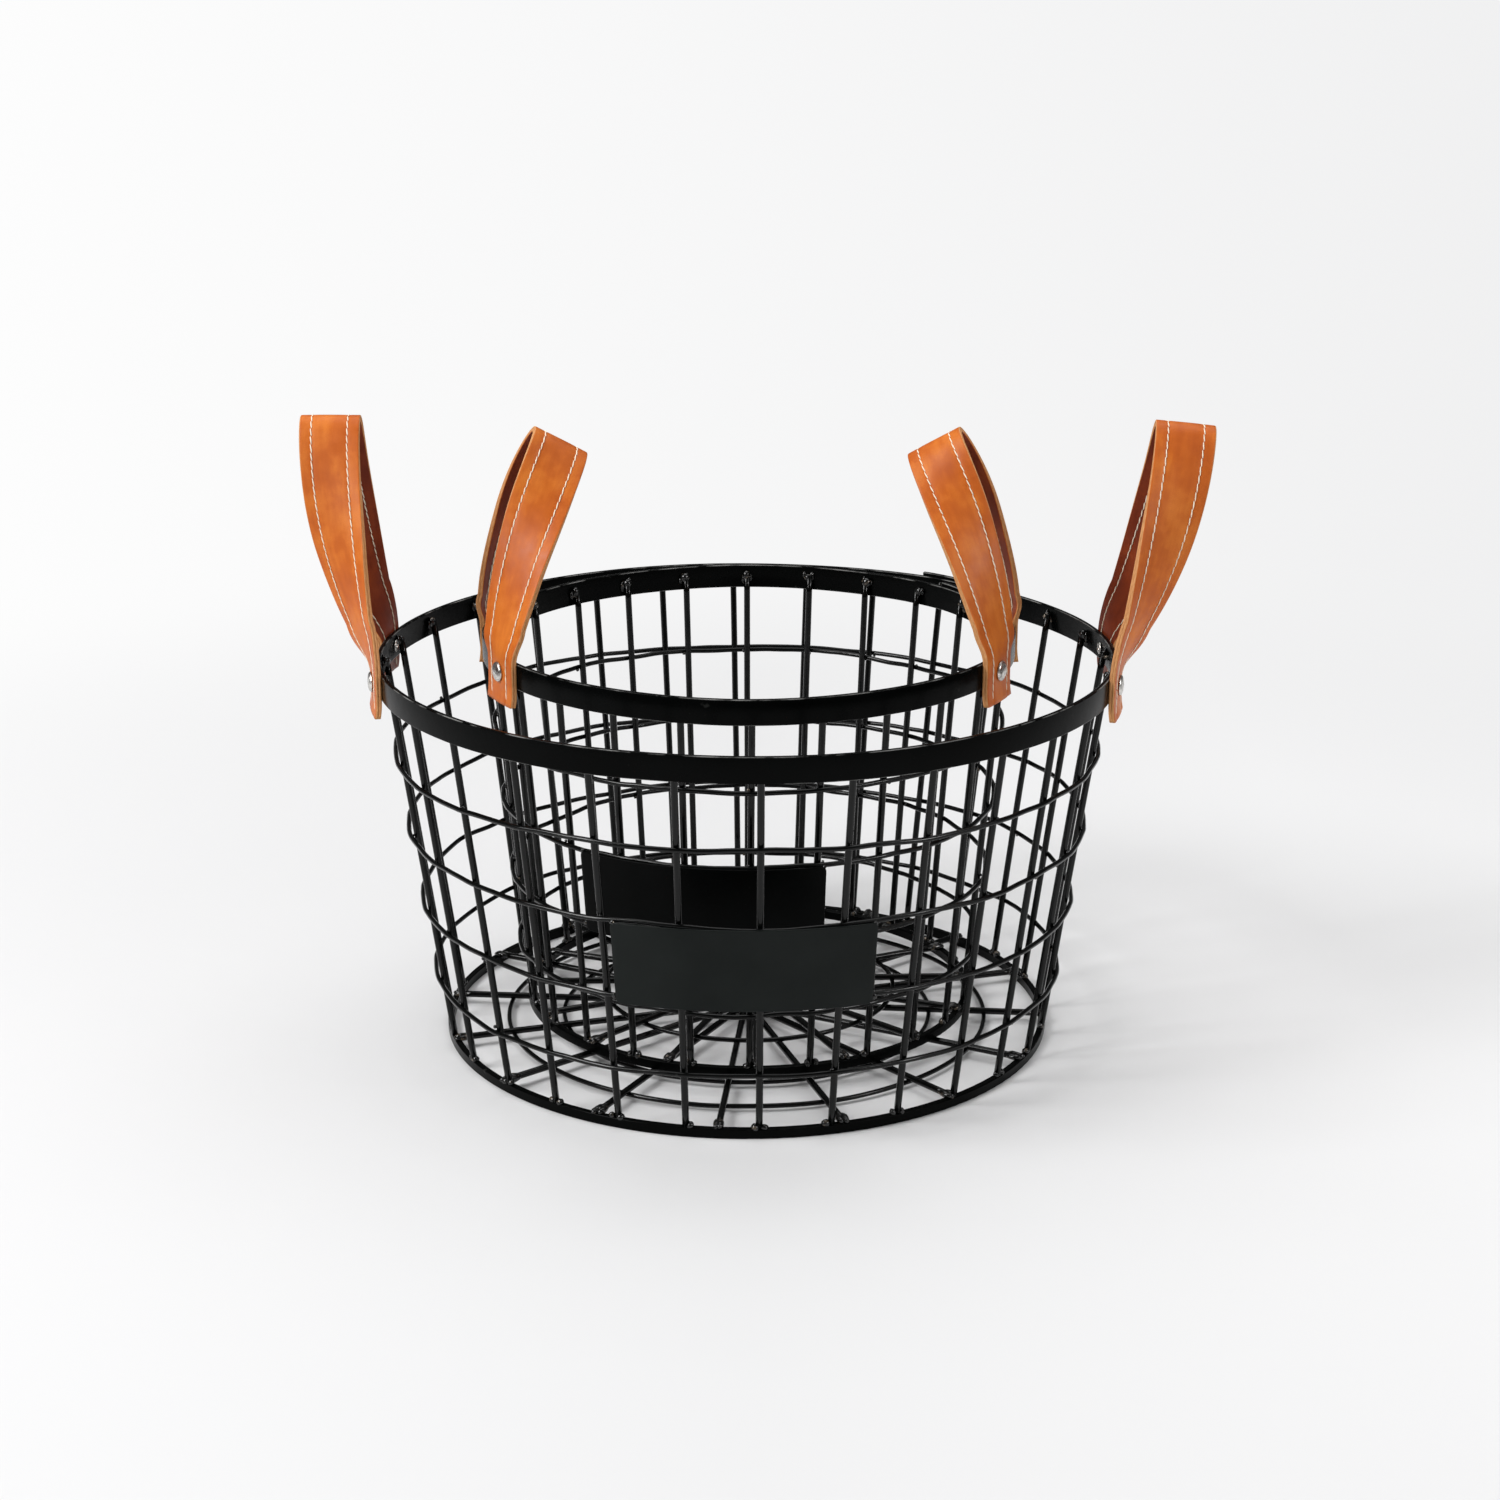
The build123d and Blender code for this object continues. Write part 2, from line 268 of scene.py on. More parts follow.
# ---------------------------------------------------------------- finishes
@dataclass(frozen=True)
class BlackPaint:
    """Satin black paint on steel: a little uneven, dusty here and there, scuffed in patches."""

    name: str
    deep: Colour = (0.0008, 0.0010, 0.0009)
    dusty: Colour = (0.0016, 0.0020, 0.0018)
    scuffed: Colour = (0.040, 0.041, 0.039)
    bare: Colour = (0.30, 0.30, 0.29)
    scuff_share: float = 0.17  # 0 for none
    shine: float = 0.26
    roughness_low: float = 0.13
    roughness_high: float = 0.26
    lump_depth: float = 0.10 * MM

    def build(self) -> bpy.types.Material:
        """Make the material."""
        net = Shader(self.name)
        broad = net.noise(net.place, 28.0, 3.0)
        fine = net.noise(net.place, 420.0, 2.0)
        colour = net.tint(net.spread(broad, 0.35, 0.7, 0.0, 1.0), rgba(self.deep), rgba(self.dusty))
        patches = net.noise(net.place, 130.0, 4.0)
        threshold = 0.78 - 0.3 * self.scuff_share
        scuffs = net.spread(patches, threshold, threshold + 0.06, 0.0, 0.55)
        colour = net.tint(scuffs, colour, rgba(self.scuffed))
        specks = net.noise(net.place, 1500.0, 1.0)
        colour = net.tint(net.spread(specks, 0.76, 0.80, 0.0, 0.35), colour, rgba(self.scuffed))
        # Along the rim band's edges the paint is rubbed to bare steel; this bright edge is partly
        # wear and partly a painted highlight.
        edge = net.add("ShaderNodeAttribute", attribute_name=EDGE_RUB_AND_SHEEN).outputs["Fac"]
        bare_edge_and_sheen = net.math(
            "MULTIPLY", edge, net.spread(net.noise(net.place, 75.0, 5.0), 0.44, 0.62, 0.0, 0.8)
        )
        colour = net.tint(bare_edge_and_sheen, colour, rgba(self.bare))
        rough = net.spread(
            net.math("ADD", broad, scuffs), 0.3, 1.1, self.roughness_low, self.roughness_high
        )
        net.set(Base_Color=colour, Roughness=rough, Specular_IOR_Level=self.shine)
        net.raise_bumps(
            (net.noise(net.place, 190.0, 2.0), self.lump_depth, 0.6), (fine, 0.03 * MM, 0.5)
        )
        return net.material


@dataclass(frozen=True)
class WeldSkin:
    """Paint run over a rough weld: glossy, with small bare spots."""

    name: str = "weld_skin"
    paint: Colour = (0.002, 0.0022, 0.0021)
    bare: Colour = (0.17, 0.135, 0.10)

    def build(self) -> bpy.types.Material:
        """Make the material."""
        net = Shader(self.name)
        grain = net.noise(net.place, 700.0, 3.0)
        spots = net.spread(net.noise(net.place, 330.0, 3.0), 0.60, 0.66, 0.0, 0.8)
        net.set(
            Base_Color=net.tint(spots, rgba(self.paint), rgba(self.bare)), Specular_IOR_Level=0.62
        )
        net.set(
            Roughness=net.spread(grain, 0.3, 0.7, 0.09, 0.22),
            Metallic=net.math("MULTIPLY", spots, 0.5),
        )
        net.raise_bumps((grain, 0.12 * MM, 0.8))
        return net.material


@dataclass(frozen=True)
class Leather:
    """Smooth tanned leather, mottled and lightly creased, with fine pores."""

    name: str
    light: Colour
    middle: Colour
    dark: Colour
    roughness_low: float = 0.36
    roughness_high: float = 0.52

    def build(self) -> bpy.types.Material:
        """Make the material."""
        net = Shader(self.name)
        flat = net.add("ShaderNodeUVMap", uv_map=Strap.MAP_NAME).outputs[0]
        drawn_out = net.vector("MULTIPLY", flat, (0.22, 1.0, 1.0))
        clouds = net.noise(net.place, 46.0, 4.0)
        streaks = net.noise(drawn_out, 260.0, 3.0)
        mottle = net.noise(net.place, 170.0, 3.0)
        shade = net.math(
            "ADD", net.math("MULTIPLY", clouds, 0.62), net.math("MULTIPLY", streaks, 0.24)
        )
        shade = net.math("ADD", shade, net.math("MULTIPLY", mottle, 0.14))
        colour = net.tint(
            net.spread(shade, 0.32, 0.52, 0.0, 1.0), rgba(self.dark), rgba(self.middle)
        )
        colour = net.tint(net.spread(shade, 0.50, 0.64, 0.0, 1.0), colour, rgba(self.light))
        pores = net.add(
            "ShaderNodeTexVoronoi", {"Vector": flat, "Scale": 1500.0}, voronoi_dimensions="2D"
        )
        pits = net.spread(pores.outputs["Distance"], 0.05, 0.5, 0.0, 1.0)
        colour = net.tint(net.spread(pits, 0.0, 0.7, 0.22, 0.0), colour, rgba(self.dark))
        net.set(Base_Color=colour, Specular_IOR_Level=0.22)
        net.set(Roughness=net.spread(mottle, 0.3, 0.7, self.roughness_low, self.roughness_high))
        creases = net.noise(net.vector("MULTIPLY", flat, (1.0, 0.35, 1.0)), 700.0, 4.0)
        net.raise_bumps(
            (clouds, 0.25 * MM, 0.35), (creases, 0.05 * MM, 0.5), (pits, 0.03 * MM, 0.5)
        )
        return net.material


@dataclass(frozen=True)
class CutEdge:
    """The raw cut edge of two leather layers: pale, fibrous, darker at the join."""

    name: str = "strap_cut_edge"
    pale: Colour = (0.74, 0.38, 0.155)
    deep: Colour = (0.48, 0.18, 0.050)

    def build(self) -> bpy.types.Material:
        """Make the material."""
        net = Shader(self.name)
        flat = net.add("ShaderNodeUVMap", uv_map=Strap.MAP_NAME).outputs[0]
        fibres = net.noise(net.vector("MULTIPLY", flat, (0.12, 1.0, 1.0)), 2600.0, 3.0)
        colour = net.tint(net.spread(fibres, 0.3, 0.68, 0.0, 1.0), rgba(self.deep), rgba(self.pale))
        net.set(Base_Color=colour, Roughness=0.72, Specular_IOR_Level=0.3)
        net.raise_bumps((fibres, 0.10 * MM, 0.7))
        return net.material


@dataclass(frozen=True)
class Thread:
    """Thick waxed cotton thread, cream, with the twist of its strands."""

    name: str = "strap_thread"
    colour: Colour = (0.92, 0.83, 0.66)
    soiled: Colour = (0.70, 0.52, 0.34)

    def build(self) -> bpy.types.Material:
        """Make the material."""
        net = Shader(self.name)
        strands = net.noise(net.place, 2400.0, 2.0)
        worn = net.spread(net.noise(net.place, 90.0, 2.0), 0.5, 0.8, 0.0, 0.5)
        net.set(Base_Color=net.tint(worn, rgba(self.colour), rgba(self.soiled)), Roughness=0.78)
        net.raise_bumps((strands, 0.10 * MM, 0.7))
        return net.material


@dataclass(frozen=True)
class Nickel:
    """Nickel plate with fine scratches, a little dulled."""

    name: str = "rivet_nickel"
    bright: Colour = (0.70, 0.68, 0.64)
    dull: Colour = (0.34, 0.33, 0.32)

    def build(self) -> bpy.types.Material:
        """Make the material."""
        net = Shader(self.name)
        clouds = net.noise(net.place, 420.0, 3.0)
        lines = net.noise(net.vector("MULTIPLY", net.place, (1.0, 1.0, 9.0)), 900.0, 2.0)
        colour = net.tint(
            net.spread(clouds, 0.42, 0.68, 0.0, 1.0), rgba(self.bright), rgba(self.dull)
        )
        net.set(Base_Color=colour, Metallic=1.0, Roughness=net.spread(clouds, 0.3, 0.7, 0.2, 0.42))
        net.raise_bumps((lines, 0.02 * MM, 0.4))
        return net.material


@dataclass(frozen=True)
class Finishes:
    """Every material of the object, made once."""

    wire: bpy.types.Material
    band: bpy.types.Material
    # The small basket's plate gets a darker copy of the plate paint: painted shade.
    plates: dict[str, bpy.types.Material]  # by the basket's name
    weld: bpy.types.Material
    face: bpy.types.Material
    # the face leather again in a darker copy: painted shade on the strap's inner face
    lining: bpy.types.Material
    edge: bpy.types.Material
    thread: bpy.types.Material
    nickel: bpy.types.Material

    @classmethod
    def make(cls) -> "Finishes":
        """Build all materials."""
        face = Leather(
            "strap_leather_face", (0.69, 0.188, 0.021), (0.58, 0.130, 0.012), (0.45, 0.084, 0.008)
        )
        # The inner face uses the same leather as the outer face, made darker: painted shade for the
        # side turned from the lamps.
        lining = Leather(
            "strap_leather_lining", (0.30, 0.051, 0.009), (0.21, 0.031, 0.006), (0.13, 0.017, 0.004)
        )
        band = BlackPaint(
            "band_paint", (0.0006, 0.0008, 0.0007), (0.0015, 0.0018, 0.0017), (0.028, 0.029, 0.027),
            scuff_share=0.24, shine=0.045, roughness_low=0.20, roughness_high=0.34,
        )
        plate = BlackPaint(
            "plate_paint", (0.0050, 0.0070, 0.0064), (0.0085, 0.0110, 0.0103), scuff_share=0.05,
            shine=0.12, roughness_low=0.34, roughness_high=0.46,
        )
        # The small basket's plate is the same paint made darker and duller: painted shade where it
        # stands inside the large basket.
        plate_with_painted_shade = BlackPaint(
            "small_plate_shade_painted", (
                0.0005, 0.0007, 0.0006
            ), (0.0014, 0.0018, 0.0017), scuff_share=0.05,
            shine=0.05, roughness_low=0.34, roughness_high=0.46,
        )
        return cls(
            wire=BlackPaint("wire_paint").build(),
            band=band.build(),
            plates={"large": plate.build(), "small": plate_with_painted_shade.build()},
            weld=WeldSkin().build(),
            face=face.build(),
            lining=lining.build(),
            edge=CutEdge().build(),
            thread=Thread().build(),
            nickel=Nickel().build(),
        )


# ---------------------------------------------------------------- grown shapes
class Growth(Net):
    """A Geometry Nodes tree with named inputs, and the plain meshes that it grows."""

    def __init__(self, name: str, **inputs: str) -> None:
        """Make the tree.

        Args:
            name: The tree's name.
            **inputs: The socket type of each named input, such as Float or Material.
        """
        super().__init__(bpy.data.node_groups.new(name, "GeometryNodeTree"))
        sides = self.tree.interface
        sides.new_socket("Seed Shape", in_out="INPUT", socket_type="NodeSocketGeometry")
        self.identifiers = {}
        for label, kind in {**inputs, "material": "Material"}.items():
            socket = sides.new_socket(label, in_out="INPUT", socket_type=f"NodeSocket{kind}")
            self.identifiers[label] = socket.identifier
        sides.new_socket("Shape", in_out="OUTPUT", socket_type="NodeSocketGeometry")
        self.given = self.add("NodeGroupInput").outputs

    def finish(self, shape: bpy.types.NodeSocket) -> None:
        """End the tree: real geometry, smooth, with its material."""
        real = self.add("GeometryNodeRealizeInstances", {"Geometry": shape}).outputs[0]
        smooth = self.add("GeometryNodeSetShadeSmooth", {"Geometry": real}).outputs[0]
        dressed = self.add(
            "GeometryNodeSetMaterial", {"Geometry": smooth, "Material": self.given["material"]}
        )
        self.add("NodeGroupOutput", {0: dressed.outputs[0]})

    def grow(
        self, name: str, seed_shape: bpy.types.Mesh | None = None, **values: object
    ) -> bpy.types.Object:
        """Run the tree once and keep its result as a plain mesh.

        Args:
            name: The new object's name.
            seed_shape: The mesh that goes in, for a tree that needs one.
            **values: The value of each named input.

        Returns:
            The new object, with no modifier.
        """
        carrier = add_object(f"{name}_carrier", seed_shape or bpy.data.meshes.new(f"{name}_start"))
        modifier = carrier.modifiers.new("grow", "NODES")
        modifier.node_group = self.tree
        for label, value in values.items():
            modifier[self.identifiers[label]] = value
        graph = bpy.context.evaluated_depsgraph_get()
        mesh = bpy.data.meshes.new_from_object(carrier.evaluated_get(graph))
        bpy.data.objects.remove(carrier)
        mesh.name = name
        return add_object(name, mesh)


def hoop_growth() -> Growth:
    """The tree for a hoop of wire, which runs a little straighter between its welds."""
    net = Growth(
        "wire_hoop", radius="Float", level="Float", wire="Float", welds="Int", turn="Float",
        straighten="Float", wave="Float", seed="Float", centre="Vector",
    )
    given = net.given
    circle = net.add(
        "GeometryNodeCurvePrimitiveCircle", {"Resolution": 336, "Radius": given["radius"]}
    )
    x, y, _ = net.parts(net.add("GeometryNodeInputPosition").outputs[0])
    angle = net.math("ARCTAN2", y, x)
    pitch = net.math("DIVIDE", math.tau, given["welds"])
    steps = net.math("DIVIDE", net.math("SUBTRACT", angle, given["turn"]), pitch)
    from_middle = net.math("MULTIPLY", net.math("SUBTRACT", net.math("FRACT", steps), 0.5), pitch)
    at_weld = net.math("COSINE", net.math("MULTIPLY", pitch, 0.5))
    chord = net.math("DIVIDE", at_weld, net.math("COSINE", from_middle))
    inwards = net.math("MULTIPLY", net.math("SUBTRACT", 1.0, chord), given["straighten"])
    away = net.vector("NORMALIZE", net.combine(x, y, 0.0))
    sample = net.vector("ADD", away, net.combine(given["seed"], 0.0, 0.0))
    sideways = net.math("SUBTRACT", net.noise(sample, 3.1, 2.0), 0.5)
    upright = net.math(
        "SUBTRACT", net.noise(net.vector("ADD", sample, (0.0, 7.0, 3.0)), 2.6, 2.0), 0.5
    )
    out = net.math(
        "SUBTRACT", net.math("MULTIPLY", sideways, given["wave"]),
        net.math("MULTIPLY", inwards, given["radius"]),
    )
    lift = net.math("MULTIPLY", upright, net.math("MULTIPLY", given["wave"], 2.2))
    offset = net.vector(
        "ADD", net.scaled(away, out), net.combine(0.0, 0.0, net.math("ADD", lift, given["level"]))
    )
    offset = net.vector("ADD", offset, given["centre"])
    bent = net.add("GeometryNodeSetPosition", {"Geometry": circle.outputs[0], "Offset": offset})
    profile = net.add(
        "GeometryNodeCurvePrimitiveCircle", {"Resolution": 10, "Radius": given["wire"]}
    )
    tube = net.add(
        "GeometryNodeCurveToMesh", {"Curve": bent.outputs[0], "Profile Curve": profile.outputs[0]}
    )
    net.finish(tube.outputs[0])
    return net


def rod_growth() -> Growth:
    """The tree for straight rods around an axis, each a little off its even place."""
    net = Growth(
        "rods_around", count="Int", turn="Float", start_radius="Float", start_level="Float",
        end_radius="Float", end_level="Float", rod="Float",
        stray="Float", seed="Int", centre="Vector",
    )
    given = net.given
    number = net.add("GeometryNodeInputIndex").outputs[0]
    angle = net.math("MULTIPLY", number, net.math("DIVIDE", math.tau, given["count"]))
    angle = net.math("ADD", angle, given["turn"])
    away = net.combine(net.math("COSINE", angle), net.math("SINE", angle), 0.0)
    aside = net.combine(
        net.math("MULTIPLY", net.math("SINE", angle), -1.0), net.math("COSINE", angle), 0.0
    )

    def end(radius: object, level: object, shift: int) -> bpy.types.NodeSocket:
        """One end of each rod, strayed along the rim."""
        low = net.math("MULTIPLY", given["stray"], -1.0)
        seed = net.math("ADD", given["seed"], shift)
        chance = {"Min_001": low, "Max_001": given["stray"], "ID": number, "Seed": seed}
        stray = net.add("FunctionNodeRandomValue", chance, data_type="FLOAT").outputs[1]
        flat = net.vector("ADD", net.scaled(away, radius), net.scaled(aside, stray))
        return net.vector(
            "ADD", net.vector("ADD", flat, given["centre"]), net.combine(0.0, 0.0, level)
        )

    start = end(given["start_radius"], given["start_level"], 0)
    finish = end(given["end_radius"], given["end_level"], 17)
    way = net.vector("SUBTRACT", finish, start)
    middle = net.scaled(net.vector("ADD", start, finish), 0.5)
    points = net.add("GeometryNodePoints", {"Count": given["count"], "Position": middle}).outputs[0]
    shape = {"Vertices": 12, "Side Segments": 20, "Radius": 1.0, "Depth": 1.0}
    cylinder = net.add("GeometryNodeMeshCylinder", shape).outputs[0]
    turned = net.add("FunctionNodeAlignRotationToVector", {"Vector": way}, axis="Z").outputs[0]
    length = net.add("ShaderNodeVectorMath", {0: way}, operation="LENGTH").outputs["Value"]
    size = net.combine(given["rod"], given["rod"], length)
    placed = {"Points": points, "Instance": cylinder, "Rotation": turned, "Scale": size}
    rods = net.add("GeometryNodeInstanceOnPoints", placed).outputs[0]
    real = net.add("GeometryNodeRealizeInstances", {"Geometry": rods}).outputs[0]
    here = net.add("GeometryNodeInputPosition").outputs[0]
    drift = net.add(
        "ShaderNodeTexNoise", {"Vector": here, "Scale": 9.0, "Detail": 1.0}
    ).outputs["Color"]
    bow = net.scaled(
        net.vector("SUBTRACT", drift, (0.5, 0.5, 0.5)), net.math("MULTIPLY", given["stray"], 0.6)
    )
    net.finish(net.add("GeometryNodeSetPosition", {"Geometry": real, "Offset": bow}).outputs[0])
    return net


def bead_growth() -> Growth:
    """The tree for weld beads: lumps of different size, flattened against what they lie on."""
    net = Growth("weld_beads", seed="Int")
    facing = net.add(
        "GeometryNodeInputNamedAttribute", {"Name": "facing"}, data_type="FLOAT_VECTOR"
    ).outputs[0]
    long = net.add(
        "GeometryNodeInputNamedAttribute", {"Name": "long"}, data_type="FLOAT_VECTOR"
    ).outputs[0]
    size = net.add(
        "GeometryNodeInputNamedAttribute", {"Name": "size"}, data_type="FLOAT_VECTOR"
    ).outputs[0]
    lump = net.add("GeometryNodeMeshIcoSphere", {"Radius": 1.0, "Subdivisions": 2}).outputs[0]
    axes = {"Primary Axis": facing, "Secondary Axis": long}
    turned = net.add(
        "FunctionNodeAxesToRotation", axes, primary_axis="Z", secondary_axis="X"
    ).outputs[0]
    seeds = {"Points": net.given["Seed Shape"], "Instance": lump, "Rotation": turned, "Scale": size}
    beads = net.add("GeometryNodeInstanceOnPoints", seeds).outputs[0]
    real = net.add("GeometryNodeRealizeInstances", {"Geometry": beads}).outputs[0]
    here = net.add("GeometryNodeInputPosition").outputs[0]
    shifted = net.vector("ADD", here, net.combine(net.given["seed"], 0.0, 0.0))
    rough = net.add(
        "ShaderNodeTexNoise", {"Vector": shifted, "Scale": 360.0, "Detail": 2.0}
    ).outputs["Color"]
    offset = net.scaled(net.vector("SUBTRACT", rough, (0.5, 0.5, 0.5)), 1.4 * MM)
    net.finish(net.add("GeometryNodeSetPosition", {"Geometry": real, "Offset": offset}).outputs[0])
    return net


def stitch_growth() -> Growth:
    """The tree for stitches along a seam, each lying on the surface that the seam follows."""
    net = Growth("stitches", pitch="Float", length="Float", thread="Float", skew="Float")
    given = net.given
    line = net.add("GeometryNodeMeshToCurve", {"Mesh": given["Seed Shape"]}).outputs[0]
    even = net.add(
        "GeometryNodeResampleCurve", {"Curve": line, "Length": given["pitch"]}, mode="LENGTH"
    ).outputs[0]
    out = net.add(
        "GeometryNodeInputNamedAttribute", {"Name": "facing"}, data_type="FLOAT_VECTOR"
    ).outputs[0]
    along = net.add("GeometryNodeInputTangent").outputs[0]
    axes = {"Primary Axis": along, "Secondary Axis": out}
    turned = net.add(
        "FunctionNodeAxesToRotation", axes, primary_axis="X", secondary_axis="Z"
    ).outputs[0]
    skew = net.add(
        "FunctionNodeEulerToRotation", {"Euler": net.combine(0.0, 0.0, given["skew"])}
    ).outputs[0]
    turned = net.add(
        "FunctionNodeRotateRotation", {0: turned, 1: skew}, rotation_space="LOCAL"
    ).outputs[0]
    chance = {
        "Min_001": 0.9, "Max_001": 1.06, "ID": net.add("GeometryNodeInputIndex").outputs[0],
        "Seed": 5,
    }
    uneven = net.add("FunctionNodeRandomValue", chance, data_type="FLOAT").outputs[1]
    half = net.math("MULTIPLY", net.math("MULTIPLY", given["length"], 0.5), uneven)
    size = net.combine(half, given["thread"], net.math("MULTIPLY", given["thread"], 0.85))
    bead = net.add(
        "GeometryNodeMeshUVSphere", {"Segments": 8, "Rings": 8, "Radius": 1.0}
    ).outputs[0]
    placed = {"Points": even, "Instance": bead, "Rotation": turned, "Scale": size}
    net.finish(net.add("GeometryNodeInstanceOnPoints", placed).outputs[0])
    return net


def rivet_growth() -> Growth:
    """The tree that sets a rivet, facing outwards, at each given point."""
    net = Growth("rivets_set", rivet="Object")
    facing = net.add(
        "GeometryNodeInputNamedAttribute", {"Name": "facing"}, data_type="FLOAT_VECTOR"
    ).outputs[0]
    turned = net.add("FunctionNodeAlignRotationToVector", {"Vector": facing}, axis="Z").outputs[0]
    shape = net.add("GeometryNodeObjectInfo", {"Object": net.given["rivet"]}).outputs["Geometry"]
    placed = {"Points": net.given["Seed Shape"], "Instance": shape, "Rotation": turned}
    net.finish(net.add("GeometryNodeInstanceOnPoints", placed).outputs[0])
    return net


@dataclass(frozen=True)
class Growths:
    """The Geometry Nodes trees, each built once."""

    hoop: Growth
    rods: Growth
    beads: Growth
    stitches: Growth
    rivets: Growth

    @classmethod
    def make(cls) -> "Growths":
        """Build all trees."""
        return cls(hoop_growth(), rod_growth(), bead_growth(), stitch_growth(), rivet_growth())


def seed_mesh(
    name: str, points: np.ndarray, edges: list[tuple[int, int]], **fields: np.ndarray
) -> bpy.types.Mesh:
    """Points, perhaps joined by edges, that a tree starts from.

    Args:
        name: The mesh's name.
        points: One row of x, y, z for each point.
        edges: Pairs of point numbers.
        **fields: A vector for each point, by attribute name.

    Returns:
        The new mesh.
    """
    mesh = bpy.data.meshes.new(name)
    mesh.from_pydata(points.tolist(), edges, [])
    for label, rows in fields.items():
        mesh.attributes.new(label, "FLOAT_VECTOR", "POINT").data.foreach_set("vector", rows.ravel())
    return mesh


# ---------------------------------------------------------------- the baskets' plans
class Side(Enum):
    """Where a handle is, seen from the front."""

    LEFT = "left"
    RIGHT = "right"


@dataclass(frozen=True)
class BasketPlan:
    """One basket's sizes: a few of its own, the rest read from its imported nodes."""

    name: str
    uprights: int
    upright_turn: float  # angle of the first upright, in radians
    spoke_turn: float
    hoops: int
    lap_turn: float  # where the ends of the rim band overlap
    seed: int
    spokes: int = 16
    upright_radius: float = 1.75 * MM
    upright_top_gap: float = 4.0 * MM
    band_thickness: float = 2.5 * MM

    @property
    def body(self) -> str:
        """The body that the wire work belongs to."""
        return f"{self.name}_basket"

    def box(self, part: str) -> tuple[Vector, Vector]:
        """The box of one of this basket's nodes."""
        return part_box(f"{self.name}_{part}")

    def outer_radius(self, part: str) -> float:
        """The outer radius of a round node."""
        low, high = self.box(part)
        return (high.x - low.x) / 2

    def level(self, part: str) -> float:
        """The height of a node's middle."""
        low, high = self.box(part)
        return (low.z + high.z) / 2

    def thickness(self, part: str) -> float:
        """The height of a node from bottom to top."""
        low, high = self.box(part)
        return high.z - low.z

    @property
    def centre(self) -> Vector:
        """The point on the basket's axis at the height of the origin."""
        low, high = self.box("rim_band")
        return Vector(((low.x + high.x) / 2, (low.y + high.y) / 2, 0.0))

    def ring_line(self) -> tuple[float, float]:
        """The cone that the wall rings' outsides touch: radius per height, radius at height 0."""
        top, bottom = self.outer_radius("wall_ring_1"), self.outer_radius("wall_ring_4")
        slope = (top - bottom) / (self.level("wall_ring_1") - self.level("wall_ring_4"))
        return slope, top - slope * self.level("wall_ring_1")

    def ring_face(self, height: float) -> float:
        """The radius of the wall rings' outside at a height."""
        slope, start = self.ring_line()
        return start + slope * height

    def upright_line(self, height: float) -> float:
        """The radius of the uprights' middles at a height."""
        wire = self.thickness("wall_ring_1")
        lean = math.atan(self.ring_line()[0])
        return self.ring_face(height) - (
            wire + self.upright_radius
        ) / math.cos(lean) + wire / 2 * (1 / math.cos(lean) - 1)


def plans() -> list[BasketPlan]:
    """The two baskets."""
    large = BasketPlan(
        "large", 28, math.radians(2.2), math.radians(-5.0), 2, math.radians(43.0), 11
    )
    small = BasketPlan("small", 24, math.radians(0.6), math.radians(2.0), 1, math.radians(25.0), 23)
    return [large, small]


